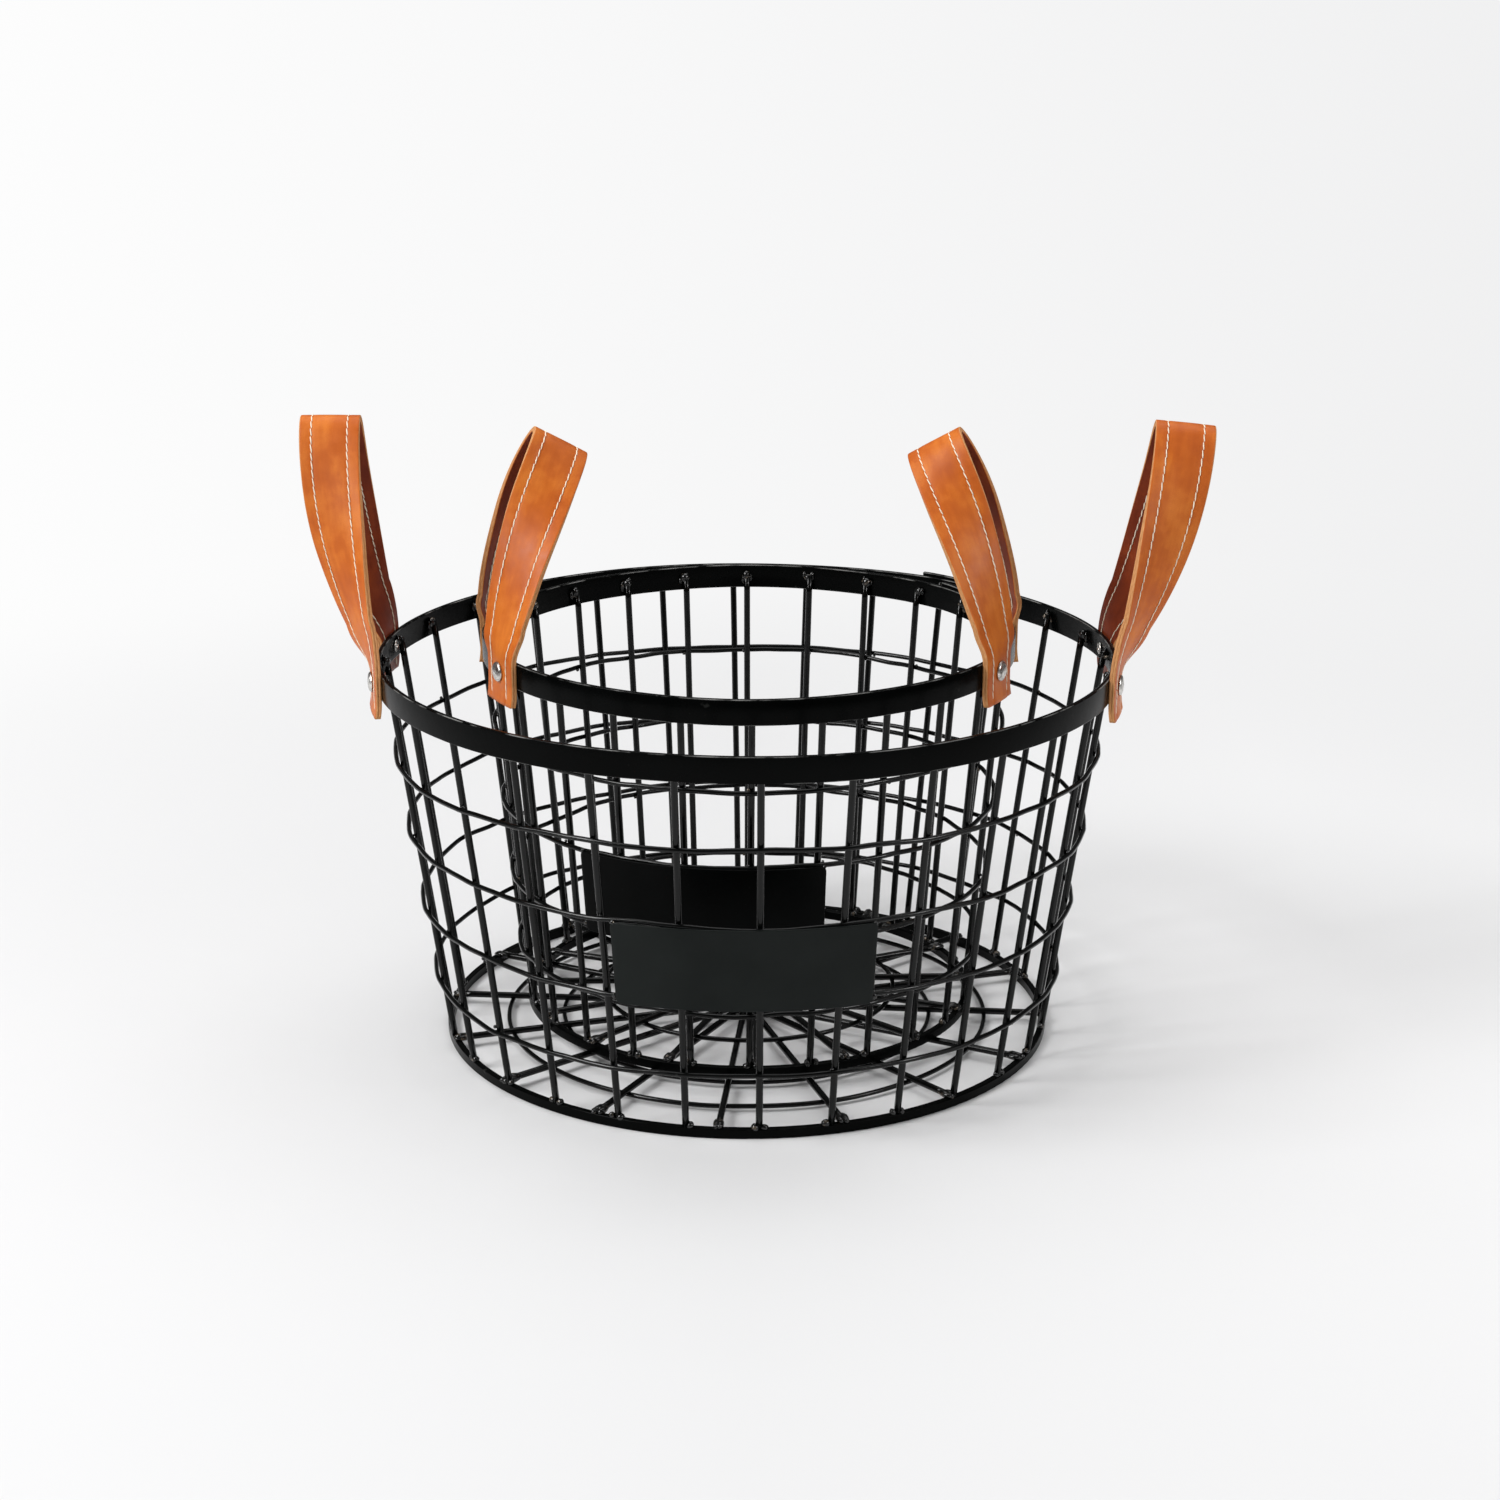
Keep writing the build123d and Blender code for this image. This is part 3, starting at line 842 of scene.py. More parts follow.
# ---------------------------------------------------------------- wire work
@dataclass
class WireWork:
    """A basket's wires, bands and weld beads."""

    plan: BasketPlan
    finishes: Finishes
    growths: Growths
    upright_stray: float = 1.3 * MM
    hoop_wave: float = 2.4 * MM
    ring_straighten: float = 0.35  # 1 for straight wire from weld to weld
    lap_angle: float = math.radians(15.0)
    lap_rise: float = 1.6 * MM
    band_wave: float = 0.5 * MM
    plate_half_width: float = 63.0 * MM  # along the curve
    plate_thickness: float = 1.2 * MM
    plate_corner: float = 2.6 * MM
    strip_gap: float = 0.1 * MM  # between a sheet or strip and what it lies on
    base_wave: float = 0.5 * MM  # of base hoops and spokes
    spoke_inset: float = 3.5 * MM  # from the outside of the base ring to a spoke's end
    strip_rounding: float = 0.55 * MM
    rim_steps: int = 420
    lap_blend: float = math.radians(4.0)  # over which the strip's end steps out over its start

    def settle(self, piece: bpy.types.Object, slot: str, *nodes: str) -> None:
        """Join a piece to the basket's body in place of its CAD nodes."""
        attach(piece, self.plan.body)
        if nodes:
            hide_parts(*[f"{self.plan.name}_{node}" for node in nodes])
        log.info("%s: %d faces", piece.name, len(piece.data.polygons))

    def build(self) -> None:
        """Make every piece of the wire work and dress the nodes that stay."""
        self.rim_band()
        self.uprights()
        self.wall_rings()
        self.base()
        self.label_plate()
        self.weld_beads()

    def uprights(self) -> None:
        """The rods of the wall."""
        plan = self.plan
        lean = math.atan(plan.ring_line()[0])
        foot = plan.box("base_ring")[1].z + plan.upright_radius * math.sin(lean)
        head = plan.box("rim_band")[1].z - plan.upright_top_gap
        piece = self.growths.rods.grow(
            f"{plan.name}_uprights_made", count=plan.uprights, turn=plan.upright_turn,
            start_radius=plan.upright_line(foot), start_level=foot,
            end_radius=plan.upright_line(head),
            end_level=head, rod=plan.upright_radius, stray=self.upright_stray, seed=plan.seed,
            centre=plan.centre, material=self.finishes.wire,
        )
        self.settle(piece, "wire_paint", "upright_wires")

    def hoop(self, node: str, straighten: float, wave: float, seed: float) -> None:
        """One hoop of wire in place of its node."""
        plan = self.plan
        wire = plan.thickness(node) / 2
        piece = self.growths.hoop.grow(
            f"{plan.name}_{node}_made", radius=plan.outer_radius(node) - wire,
            level=plan.level(node),
            wire=wire, welds=plan.uprights, turn=plan.upright_turn,
            straighten=straighten, wave=wave,
            seed=seed, centre=plan.centre, material=self.finishes.wire,
        )
        self.settle(piece, "wire_paint", node)

    def wall_rings(self) -> None:
        """The thin hoops around the wall."""
        for number in (1, 2, 3, 4):
            self.hoop(
                f"wall_ring_{number}", self.ring_straighten, self.hoop_wave,
                self.plan.seed + number * 1.7,
            )

    def base(self) -> None:
        """The base's spokes and hoops; the ring and the hub keep their CAD shape."""
        plan = self.plan
        for number in range(1, plan.hoops + 1):
            self.hoop(f"base_hoop_{number}", 0.0, self.base_wave, plan.seed + number * 3.1)
        hub = plan.outer_radius("base_hub")
        ring = plan.box("base_ring")
        end = (ring[1].x - ring[0].x) / 2 - self.spoke_inset
        level = plan.level("base_spokes")
        piece = self.growths.rods.grow(
            f"{plan.name}_spokes_made", count=plan.spokes, turn=plan.spoke_turn, start_radius=hub,
            start_level=level, end_radius=end,
            end_level=level, rod=plan.thickness("base_spokes") / 2,
            stray=self.base_wave, seed=plan.seed + 3,
            centre=plan.centre, material=self.finishes.wire,
        )
        self.settle(piece, "wire_paint", "base_spokes")
        for node, material in (("base_ring", self.finishes.band), ("base_hub", self.finishes.wire)):
            dress(f"{plan.name}_{node}", material)

    def rim_band(self) -> None:
        """The flat strip around the mouth, whose ends overlap."""
        plan = self.plan
        low, high = plan.box("rim_band")
        radius, height = (high.x - low.x) / 2, high.z - low.z
        outline = rounded_strip(plan.band_thickness, height, self.strip_rounding)
        steps = self.rim_steps
        angles = np.linspace(0.0, math.tau + self.lap_angle, steps)
        over = smoothstep((angles - math.tau + self.lap_blend / 2) / self.lap_blend)
        under = 1 - smoothstep(angles / self.lap_angle)
        away = radius + over * (plan.band_thickness + self.strip_gap)
        rise = self.lap_rise * smoothstep(
            (angles - math.tau) / self.lap_angle
        ) - 0.6 * self.lap_rise * under
        rise += self.band_wave * (
            np.sin(3 * angles + plan.seed) + 0.5 * np.sin(7 * angles)
        ) / 2 * (1 - under)
        rows = []
        for angle, reach, lift in zip(angles + plan.lap_turn, away, rise):
            across = reach + outline[:, 0]
            z = high.z + outline[:, 1] + lift
            rows.append(np.stack([across * math.cos(angle), across * math.sin(angle), z], axis=1))
        points = np.concatenate(rows) + np.array(plan.centre)
        faces = tube_faces(steps, len(outline), closed=False)
        mesh = mesh_from("rim", points, faces)
        # The rounded edges are marked for the bright bare colour: rubbed paint and a painted
        # highlight along them.
        corner = np.maximum(0, 1 - np.abs(np.arange(len(outline)) % 5 - 2) / 2)
        mesh.attributes.new(EDGE_RUB_AND_SHEEN, "FLOAT", "POINT").data.foreach_set(
            "value", np.tile(corner, steps)
        )
        piece = add_object(f"{plan.name}_rim_made", mesh)
        piece.data.materials.append(self.finishes.band)
        self.settle(piece, "band_paint", "rim_band")

    def label_plate(self) -> None:
        """The curved blank plate on the front, with rounded corners."""
        plan = self.plan
        low, high = plan.box("label_plate")
        turn = mean_angle(f"{plan.name}_label_plate", plan.centre)
        reach = plan.ring_face((low.z + high.z) / 2)
        tall, corner = high.z - low.z, self.plate_corner
        rounded = np.linspace(0, corner, 6)
        straight = np.linspace(corner, tall - corner, 9)[1:-1]
        rows_z = np.concatenate([rounded, straight, tall - rounded[::-1]])
        columns = np.linspace(-1, 1, 61)
        points = []
        for z in rows_z:
            near = min(z, tall - z)
            cut = corner - math.sqrt(max(corner**2 - (corner - min(near, corner)) ** 2, 0.0))
            radius = plan.ring_face(low.z + z) + self.strip_gap
            for column in columns:
                angle = turn + (self.plate_half_width - cut) * column / reach
                points.append((radius * math.cos(angle), radius * math.sin(angle), low.z + z))
        count = len(columns)
        faces = [
            (i * count + j, i * count + j + 1, (i + 1) * count + j + 1, (i + 1) * count + j)
            for i in range(len(rows_z) - 1)
            for j in range(count - 1)
        ]
        mesh = mesh_from("plate", np.array(points) + np.array(plan.centre), faces)
        piece = add_object(f"{plan.name}_plate_made", mesh)
        piece.data.materials.append(self.finishes.plates[plan.name])
        wall = piece.modifiers.new("thickness", "SOLIDIFY")
        wall.thickness, wall.offset = self.plate_thickness, 1.0
        soft = piece.modifiers.new("edges", "BEVEL")
        soft.width, soft.segments, soft.limit_method = 0.3 * MM, 2, "ANGLE"
        keep_modified(piece)
        self.settle(piece, "plate_paint", "label_plate")

    def weld_beads(self) -> None:
        """The lumps of weld where wires meet."""
        plan = self.plan
        chance = np.random.default_rng(plan.seed)
        spots = WeldSpots(plan, chance)
        spots.add_feet()
        spots.add_heads()
        spots.add_spoke_ends()
        spots.add_crossings()
        spots.add_plate_corners()
        piece = self.growths.beads.grow(
            f"{plan.name}_weld_beads", spots.mesh(), seed=plan.seed, material=self.finishes.weld
        )
        self.settle(piece, "wire_paint")


class WeldSpots:
    """Where a basket's weld beads lie, how they face and how large they are."""

    def __init__(self, plan: BasketPlan, chance: np.random.Generator) -> None:
        """Start with no beads."""
        self.plan = plan
        self.chance = chance
        self.places: list[tuple[float, float, float]] = []
        self.facings: list[tuple[float, float, float]] = []
        self.longs: list[tuple[float, float, float]] = []
        self.sizes: list[tuple[float, float, float]] = []

    def add(
        self, angle: float, radius: float, level: float, faces: str,
        size: tuple[float, float, float],
    ) -> None:
        """Add one bead.

        Args:
            angle: Around the basket's axis.
            radius: From that axis.
            level: Height above the floor.
            faces: Which way it stands out: "in" or "out" from the wall, or "up" from the base.
            size: Half its length along the wire, half its breadth and how far it stands out, in
                millimetres.
        """
        centre = self.plan.centre
        across, up = (math.cos(angle), math.sin(angle), 0.0), (0.0, 0.0, 1.0)
        inwards = (-across[0], -across[1], 0.0)
        self.places.append((centre.x + radius * across[0], centre.y + radius * across[1], level))
        self.facings.append({"in": inwards, "out": across, "up": up}[faces])
        self.longs.append(across if faces == "up" else up)
        uneven = self.chance.uniform(0.82, 1.25, 3)
        self.sizes.append(tuple(float(s * u) * MM for s, u in zip(size, uneven)))

    def upright_angles(self) -> list[float]:
        """The angle of each upright."""
        plan = self.plan
        return [plan.upright_turn + math.tau * i / plan.uprights for i in range(plan.uprights)]

    def add_feet(self) -> None:
        """Beads beside the uprights' feet, on top of the base ring."""
        top = self.plan.box("base_ring")[1].z
        radius = self.plan.upright_line(top)
        for angle in self.upright_angles():
            for side in (-1, 1):
                if self.chance.random() < 0.8:
                    aside = side * self.chance.uniform(1.6, 2.9) * MM / radius
                    self.add(angle + aside, radius, top + 0.4 * MM, "up", (1.8, 2.0, 1.9))

    def add_heads(self) -> None:
        """Beads run down the uprights' upper ends, on the inside of the rim band."""
        high = self.plan.box("rim_band")[1].z
        radius = self.plan.outer_radius("rim_band") - self.plan.band_thickness
        for angle in self.upright_angles():
            level = high - self.plan.upright_top_gap
            self.add(angle, radius - 1.6 * MM, level - 1.4 * MM, "in", (2.6, 2.3, 2.2))
            for side in (-1, 1):
                aside = side * self.chance.uniform(1.2, 2.4) * MM / radius
                drop = self.chance.uniform(0.2, 4.2) * MM
                length = self.chance.uniform(1.5, 3.0)
                self.add(angle + aside, radius - 0.5 * MM, level - drop, "in", (length, 1.3, 1.2))

    def add_spoke_ends(self) -> None:
        """Beads where the spokes meet the base ring, and the hub."""
        plan = self.plan
        level = plan.level("base_spokes")
        reach = plan.outer_radius("base_ring") - 4.6 * MM
        for i in range(plan.spokes):
            angle = plan.spoke_turn + math.tau * i / plan.spokes
            for side in (-1, 1):
                aside = side * self.chance.uniform(0.9, 1.9) * MM / reach
                self.add(angle + aside, reach, level + 0.1 * MM, "up", (5.0, 1.9, 1.8))
            hub = plan.outer_radius("base_hub") + 0.6 * MM
            self.add(angle, hub, level + 0.4 * MM, "up", (2.2, 1.7, 1.7))

    def add_crossings(self) -> None:
        """Small beads where the wall rings touch the uprights."""
        plan = self.plan
        for number in (1, 2, 3, 4):
            level = plan.level(f"wall_ring_{number}")
            wire = plan.thickness("wall_ring_1")
            radius = plan.ring_face(level) - wire
            for angle in self.upright_angles():
                if self.chance.random() < 0.7:
                    aside = self.chance.choice((-1, 1)) * 1.5 * MM / radius
                    lift = self.chance.choice((-1, 1)) * 0.9 * MM
                    self.add(angle + aside, radius, level + lift, "out", (0.9, 0.9, 0.8))

    def add_plate_corners(self) -> None:
        """Beads at the corners of the label plate."""
        plan = self.plan
        high = plan.box("label_plate")[1]
        turn = mean_angle(f"{plan.name}_label_plate", plan.centre)
        for level in (high.z - 0.4 * MM, plan.level("wall_ring_3")):
            radius = plan.ring_face(level) + 0.3 * MM
            for side in (-1, 1):
                self.add(turn + side * 63.3 * MM / radius, radius, level, "out", (1.4, 1.2, 0.9))

    def mesh(self) -> bpy.types.Mesh:
        """The points that the bead tree starts from."""
        fields = {"facing": self.facings, "long": self.longs, "size": self.sizes}
        return seed_mesh(
            "weld_spots", np.array(self.places), [], **{k: np.array(v) for k, v in fields.items()}
        )


def rounded_strip(thickness: float, height: float, rounding: float) -> np.ndarray:
    """The outline of flat strip, hanging down and inwards from its top outer edge.

    Args:
        thickness: Across the strip, inwards.
        height: Of the strip, downwards.
        rounding: Radius of its four edges.

    Returns:
        Rows of (outwards, upwards), in the order that makes faces look outwards on a strip that
        goes anticlockwise round.
    """
    corners = (
        (-rounding, -height + rounding, -90), (-rounding, -rounding, 0),
        (-thickness + rounding, -rounding, 90), (-thickness + rounding, -height + rounding, 180),
    )
    rows = []
    for x, y, start in corners:
        for step in range(5):
            angle = math.radians(start + 22.5 * step)
            rows.append((x + rounding * math.cos(angle), y + rounding * math.sin(angle)))
    return np.array(rows[::-1])


def dress(node: str, material: bpy.types.Material) -> None:
    """Give a CAD node its finish."""
    mesh = frame["nodes"][node].data
    if not mesh.materials:
        mesh.materials.append(material)
    for index in range(len(mesh.materials)):
        mesh.materials[index] = material


def keep_modified(piece: bpy.types.Object) -> None:
    """Replace a piece's mesh by what its modifiers make of it, and drop them."""
    graph = bpy.context.evaluated_depsgraph_get()
    made = bpy.data.meshes.new_from_object(piece.evaluated_get(graph))
    piece.modifiers.clear()
    piece.data = made


def mean_angle(node: str, centre: Vector) -> float:
    """The angle around a vertical axis that a node's vertices lie at on average."""
    mesh = frame["nodes"][node].data
    points = np.array([vertex.co for vertex in mesh.vertices])
    away = unit(points[:, :2] - np.array(centre.xy))
    return math.atan2(float(away[:, 1].mean()), float(away[:, 0].mean()))


# ---------------------------------------------------------------- handles
def leaned(rows: np.ndarray, angle: float | np.ndarray) -> np.ndarray:
    """Rows of (outwards, along, up) turned about the bend line, towards the basket.

    Args:
        rows: The points or directions.
        angle: One angle for all rows, or one for each.

    Returns:
        The turned rows.
    """
    cosine, sine = np.cos(angle), np.sin(angle)
    out, along, up = rows.T
    return np.stack([out * cosine - up * sine, along, out * sine + up * cosine], axis=1)


@dataclass(frozen=True)
class StrapLine:
    """A strap's middle line at even steps, with its directions there, in the row frame."""

    middle: np.ndarray
    across: np.ndarray
    out: np.ndarray
    bow: np.ndarray  # 1 where the strap lies round the rim band, 0 where it is flat
    length: np.ndarray  # from the start of the strap

    def point(
        self, across: float | np.ndarray, out: float | np.ndarray, radius: float
    ) -> np.ndarray:
        """Points beside the middle line, one for each step."""
        sag = -self.bow * np.square(across) / (2 * radius)
        sideways = self.across * np.reshape(across, (-1, 1))
        return self.middle + sideways + self.out * np.reshape(out + sag, (-1, 1))


@dataclass
class Strap:
    """A leather handle: two layers stitched together, bent to a loop and riveted to the rim."""

    plan: BasketPlan
    side: Side
    height: float
    flare: float
    lean: float
    twist_power: float  # how early in its rise the strap turns its face to the front
    width: float = 30.0 * MM
    thickness: float = 3.0 * MM
    taper: float = 9.0 * MM
    top_half: float = 18.0 * MM
    taper_height: float = 0.46
    stiff_below: float = 3.0 * MM  # under the bend line the strap lies flat on the rim band
    free_above: float = 13.0 * MM
    settle_height: float = 62.0 * MM  # over which the rim's curve leaves the strap
    step: float = 1.6 * MM
    seam_inset: float = 6.0 * MM
    seam_end_gap: float = 3.5 * MM
    stitch_pitch: float = 4.2 * MM
    stitch_length: float = 4.9 * MM
    thread_radius: float = 0.34 * MM
    stitch_skew: float = math.radians(7.0)
    groove: float = 0.28 * MM
    ripple: float = 0.12 * MM
    rivet_dent: float = 0.3 * MM
    dent_reach: float = 5.5 * MM
    end_curl: float = 0.9 * MM
    curl_reach: float = 9.0 * MM
    bend_below: float = 1.0 * MM  # where the leather's bend starts under the joint's line
    bend_above: float = 20.0 * MM
    MAP_NAME = "strap"

    @property
    def name(self) -> str:
        """The start of this handle's piece names."""
        return f"{self.plan.name}_{self.side.value}"

    @property
    def joint(self) -> dict:
        """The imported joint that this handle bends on."""
        return next(j for j in frame["joints"] if j["name"] == f"{self.name}_handle_bend")

    @property
    def hinge(self) -> Vector:
        """A point on the bend line, in the middle of the handle."""
        return Vector(self.joint["pos_m"])

    def axes(self) -> tuple[np.ndarray, np.ndarray, np.ndarray]:
        """Outwards, along the bend line, and up."""
        along = np.array(self.joint["axis"], float)
        return np.array([along[1], -along[0], 0.0]), along, np.array([0.0, 0.0, 1.0])

    @property
    def rim_gap(self) -> float:
        """From the basket's axis to the bend line."""
        return (self.hinge.xy - self.plan.centre.xy).length

    @property
    def wrap_radius(self) -> float:
        """The middle of the strap where it lies round the rim band."""
        return self.plan.outer_radius("rim_band") + 0.02 * MM + self.thickness / 2

    @property
    def half_spread(self) -> float:
        """From the handle's middle to the middle of each leg, on the bend line."""
        return math.sqrt(self.wrap_radius**2 - self.rim_gap**2)

    def loop_half(self, shares: np.ndarray) -> tuple[np.ndarray, np.ndarray]:
        """One leg of the free loop, in outwards, along and up.

        Args:
            shares: From 0 at the bend to 1 at the top.

        Returns:
            Its middle line and how far its width has turned at each share.
        """
        spread, height = self.half_spread, self.height
        steer = [
            (spread, 0), (spread - self.taper, self.taper_height * height),
            (self.top_half, height), (0, height),
        ]
        rest = 1 - shares
        weights = np.stack([rest**3, 3 * rest**2 * shares, 3 * rest * shares**2, shares**3], axis=1)
        along, up = (weights @ np.array(steer)).T
        out = self.flare * (1 - (1 - up / height) ** 2)
        middle = leaned(np.stack([out, along, up], axis=1), self.lean)
        return middle, math.pi / 2 * (1 - rest**self.twist_power)

    def half_line(self) -> tuple[np.ndarray, np.ndarray, np.ndarray]:
        """One leg from its riveted end to the top: middle line, width direction and bow."""
        spread = self.half_spread
        rim = math.asin(spread / self.wrap_radius)
        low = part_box(f"{self.name}_handle_back_end")[0].z - self.hinge.z
        ends = np.linspace(low, -self.stiff_below, 24)
        still = np.zeros_like(ends)
        flat = np.stack([still, np.full_like(ends, spread), ends], axis=1)
        loop, twist = self.loop_half(np.linspace(0, 1, 241))
        first = int(np.argmax(loop[:, 2] > self.free_above))
        start, end = flat[-1], loop[first]
        reach = np.linalg.norm(end - start)
        rise = np.array([0.0, 0.0, 1.0]) * reach * 0.38
        onward = unit(loop[first + 1 : first + 2] - loop[first : first + 1])[0] * reach * 0.38
        t = np.linspace(0, 1, 14)[1:-1]
        steer = np.stack([start, start + rise, end - onward, end])
        rest = 1 - t
        bend = np.stack([rest**3, 3 * rest**2 * t, 3 * rest * t**2, t**3], axis=1) @ steer
        middle = np.concatenate([flat, bend, loop[first:]])
        above = middle[:, 2] + self.stiff_below
        turn = np.concatenate([still, twist[first] * smoothstep(t), twist[first:]])
        turn += rim * (1 - smoothstep(above / self.settle_height))
        width = np.stack([-np.sin(turn), np.cos(turn), np.zeros_like(turn)], axis=1)
        width = leaned(width, self.lean * smoothstep(above / self.free_above))
        return middle, width, 1 - smoothstep(above / self.free_above)

    def line(self) -> StrapLine:
        """The whole strap at even steps, from its back end over the loop to its front end."""
        middle, width, bow = self.half_line()
        bow[np.argmax(bow < 1e-6) :] = 0.0
        mirror = np.array([1.0, -1.0, 1.0])
        middle = np.concatenate([middle, (middle * mirror)[::-1][1:]])
        width = np.concatenate([width, (width * mirror)[::-1][1:]])
        bow = np.concatenate([bow, bow[::-1][1:]])
        run = np.concatenate([[0.0], np.cumsum(np.linalg.norm(np.diff(middle, axis=0), axis=1))])
        even = np.linspace(0, run[-1], int(run[-1] / self.step) + 1)
        middle, width = (
            np.stack(
                [np.interp(even, run, rows[:, k]) for k in range(3)], axis=1
            ) for rows in (middle, width)
        )
        bow = np.interp(even, run, bow)
        along = unit(np.gradient(middle, even, axis=0))
        width = unit(width - along * np.sum(width * along, axis=1, keepdims=True))
        out = np.cross(width, along)
        turn = np.stack(self.axes())
        return StrapLine(middle @ turn + np.array(self.hinge), width @ turn, out @ turn, bow, even)

    def outline(self) -> tuple[np.ndarray, np.ndarray, np.ndarray]:
        """The section: places across, places outwards and which material each stretch has."""
        half, thick = self.width / 2, self.thickness / 2
        seam = half - self.seam_inset
        near = np.array([-1.6, -0.8, 0.0, 0.8, 1.6]) * MM
        across = np.concatenate(
            [
                [-half + 1.1 * MM], -seam + near, [-4.5 * MM, 0.0, 4.5 * MM], seam + near,
                [half - 1.1 * MM],
            ]
        )
        dip = self.groove * np.exp(-(((np.abs(across) - seam) / (0.75 * MM)) ** 2))
        top = thick - dip
        round_off = np.array([(0.45, 0.0), (0.12, 0.14), (0.0, 0.5)]) * MM
        corner = np.stack([half - round_off[:, 0], thick - round_off[:, 1]], axis=1)
        groove = np.array(
            [(half + 0.08 * MM, 0.75 * MM), (half + 0.02 * MM, 0.2 * MM), (half - 0.4 * MM, 0.0)]
        )
        right = np.concatenate(
            [corner, groove, (groove[:-1] * (1, -1))[::-1], (corner * (1, -1))[::-1]]
        )
        bottom = np.stack([across[::-1], -top[::-1]], axis=1)
        left = np.concatenate(
            [
                corner * (-1, -1), groove * (-1, -1), (groove[:-1] * (-1, 1))[::-1],
                (corner * (-1, 1))[::-1],
            ]
        )
        rows = np.concatenate([np.stack([across, top], axis=1), right, bottom, left])
        count = len(across)
        zones = np.zeros(len(rows), int)
        zones[count + 1 : count + len(right) - 1] = 2
        # Stretch 1 is the inner face, which takes the darker copy of the leather as painted shade.
        zones[count + len(right) - 1 : 2 * count + len(right)] = 1
        zones[2 * count + len(right) + 1 : -1] = 2
        return rows[:, 0], rows[:, 1], zones

    def build(self, finishes: Finishes, growths: Growths) -> None:
        """Make the strap, its stitches and its rivets."""
        line = self.line()
        self.leather(line, finishes)
        self.stitches(line, finishes, growths)
        self.rivets(finishes, growths)

    def bend(self, piece: bpy.types.Object) -> None:
        """Bake a finished piece's transform into its mesh and log how many faces it has."""
        start = self.hinge - Vector((0, 0, self.bend_below))
        end = self.hinge + Vector((0, 0, self.bend_above))
        self.plan.body
        f"{self.name}_loop"
        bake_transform(piece)
        log.info("%s: %d faces", piece.name, len(piece.data.polygons))

    def leather(self, line: StrapLine, finishes: Finishes) -> None:
        """The strap itself."""
        across, out, zones = self.outline()
        count, stations = len(across), len(line.length)
        total = line.length[-1]
        rivet = self.rivet_drop()
        rows = []
        for a, o in zip(across, out):
            ripple = self.ripple * np.sin(line.length * 95.0 + a * 130.0) * (1 - line.bow)
            near = np.minimum(line.length, total - line.length)
            dent = -self.rivet_dent * np.exp(
                -((near - rivet) ** 2 + a**2) / self.dent_reach**2
            ) * (o > 0)
            curl = self.end_curl * np.square(np.clip(1 - near / self.curl_reach, 0, 1))
            rows.append(
                line.point(np.full(stations, a), o + ripple + dent + curl, self.wrap_radius)
            )
        points = np.stack(rows, axis=1).reshape(-1, 3)
        faces = tube_faces(stations, count, closed=False)
        mesh = mesh_from(f"{self.name}_strap", points, faces)
        for material in (finishes.face, finishes.lining, finishes.edge):
            mesh.materials.append(material)
        side_zone = np.tile(zones, stations - 1)
        mesh.polygons.foreach_set(
            "material_index", np.concatenate([side_zone, [2, 2]]).astype(np.int32)
        )
        self.unwrap(mesh, across, out, line.length)
        piece = add_object(f"{self.name}_strap", mesh)
        nodes = [f"{self.name}_handle_{part}" for part in ("loop", "front_end", "back_end")]
        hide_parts(*nodes)
        self.bend(piece)

    def unwrap(
        self, mesh: bpy.types.Mesh, across: np.ndarray, out: np.ndarray, length: np.ndarray
    ) -> None:
        """Lay the strap out flat in a UV map, in metres along and across."""
        count = len(across)
        girth = np.concatenate([[0.0], np.cumsum(np.hypot(np.diff(across), np.diff(out)))])
        places = np.zeros(len(mesh.loops), int)
        mesh.loops.foreach_get("vertex_index", places)
        layer = mesh.uv_layers.new(name=self.MAP_NAME)
        flat = np.stack([length[places // count], girth[places % count]], axis=1)
        layer.data.foreach_set("uv", flat.astype(np.float32).ravel())

    def stitches(self, line: StrapLine, finishes: Finishes, growths: Growths) -> None:
        """Two seams on each face of the strap."""
        seam = self.width / 2 - self.seam_inset
        keep = (line.length > self.seam_end_gap) & (
            line.length < line.length[-1] - self.seam_end_gap
        )
        points, facings, edges = [], [], []
        for face in (1, -1):
            for across in (-seam, seam):
                level = face * (self.thickness / 2 - 0.02 * MM)
                rows = line.point(np.full(len(line.length), across), level, self.wrap_radius)[keep]
                start = sum(len(done) for done in points)
                edges += [(start + i, start + i + 1) for i in range(len(rows) - 1)]
                points.append(rows)
                facings.append(face * line.out[keep])
        seeds = seed_mesh("seams", np.concatenate(points), edges, facing=np.concatenate(facings))
        piece = growths.stitches.grow(
            f"{self.name}_stitches", seeds, pitch=self.stitch_pitch, length=self.stitch_length,
            thread=self.thread_radius, skew=self.stitch_skew, material=finishes.thread,
        )
        self.bend(piece)

    def rivet_drop(self) -> float:
        """From the end of the strap to the rivet's middle."""
        rivets = self.plan.level(f"{self.side.value}_handle_rivets")
        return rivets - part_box(f"{self.name}_handle_back_end")[0].z

    def rivets(self, finishes: Finishes, growths: Growths) -> None:
        """A domed rivet through each end of the strap, spread inside the rim band."""
        out, along, _ = self.axes()
        rim = math.asin(self.half_spread / self.wrap_radius)
        level = self.plan.level(f"{self.side.value}_handle_rivets")
        facings = np.array([out * math.cos(rim) + along * math.sin(rim) * end for end in (-1, 1)])
        centre = np.array(self.plan.centre) + np.array([0.0, 0.0, level])
        places = centre + facings * (self.wrap_radius + self.thickness / 2)
        rivet = Rivet(through=self.thickness + self.plan.band_thickness + 0.02 * MM).build()
        seeds = seed_mesh("rivet_places", places, [], facing=facings)
        piece = growths.rivets.grow(
            f"{self.name}_rivets_made", seeds, rivet=rivet, material=finishes.nickel
        )
        bpy.data.objects.remove(rivet)
        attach(piece, self.plan.body)
        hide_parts(f"{self.name}_handle_rivets")
        log.info("%s: %d faces", piece.name, len(piece.data.polygons))


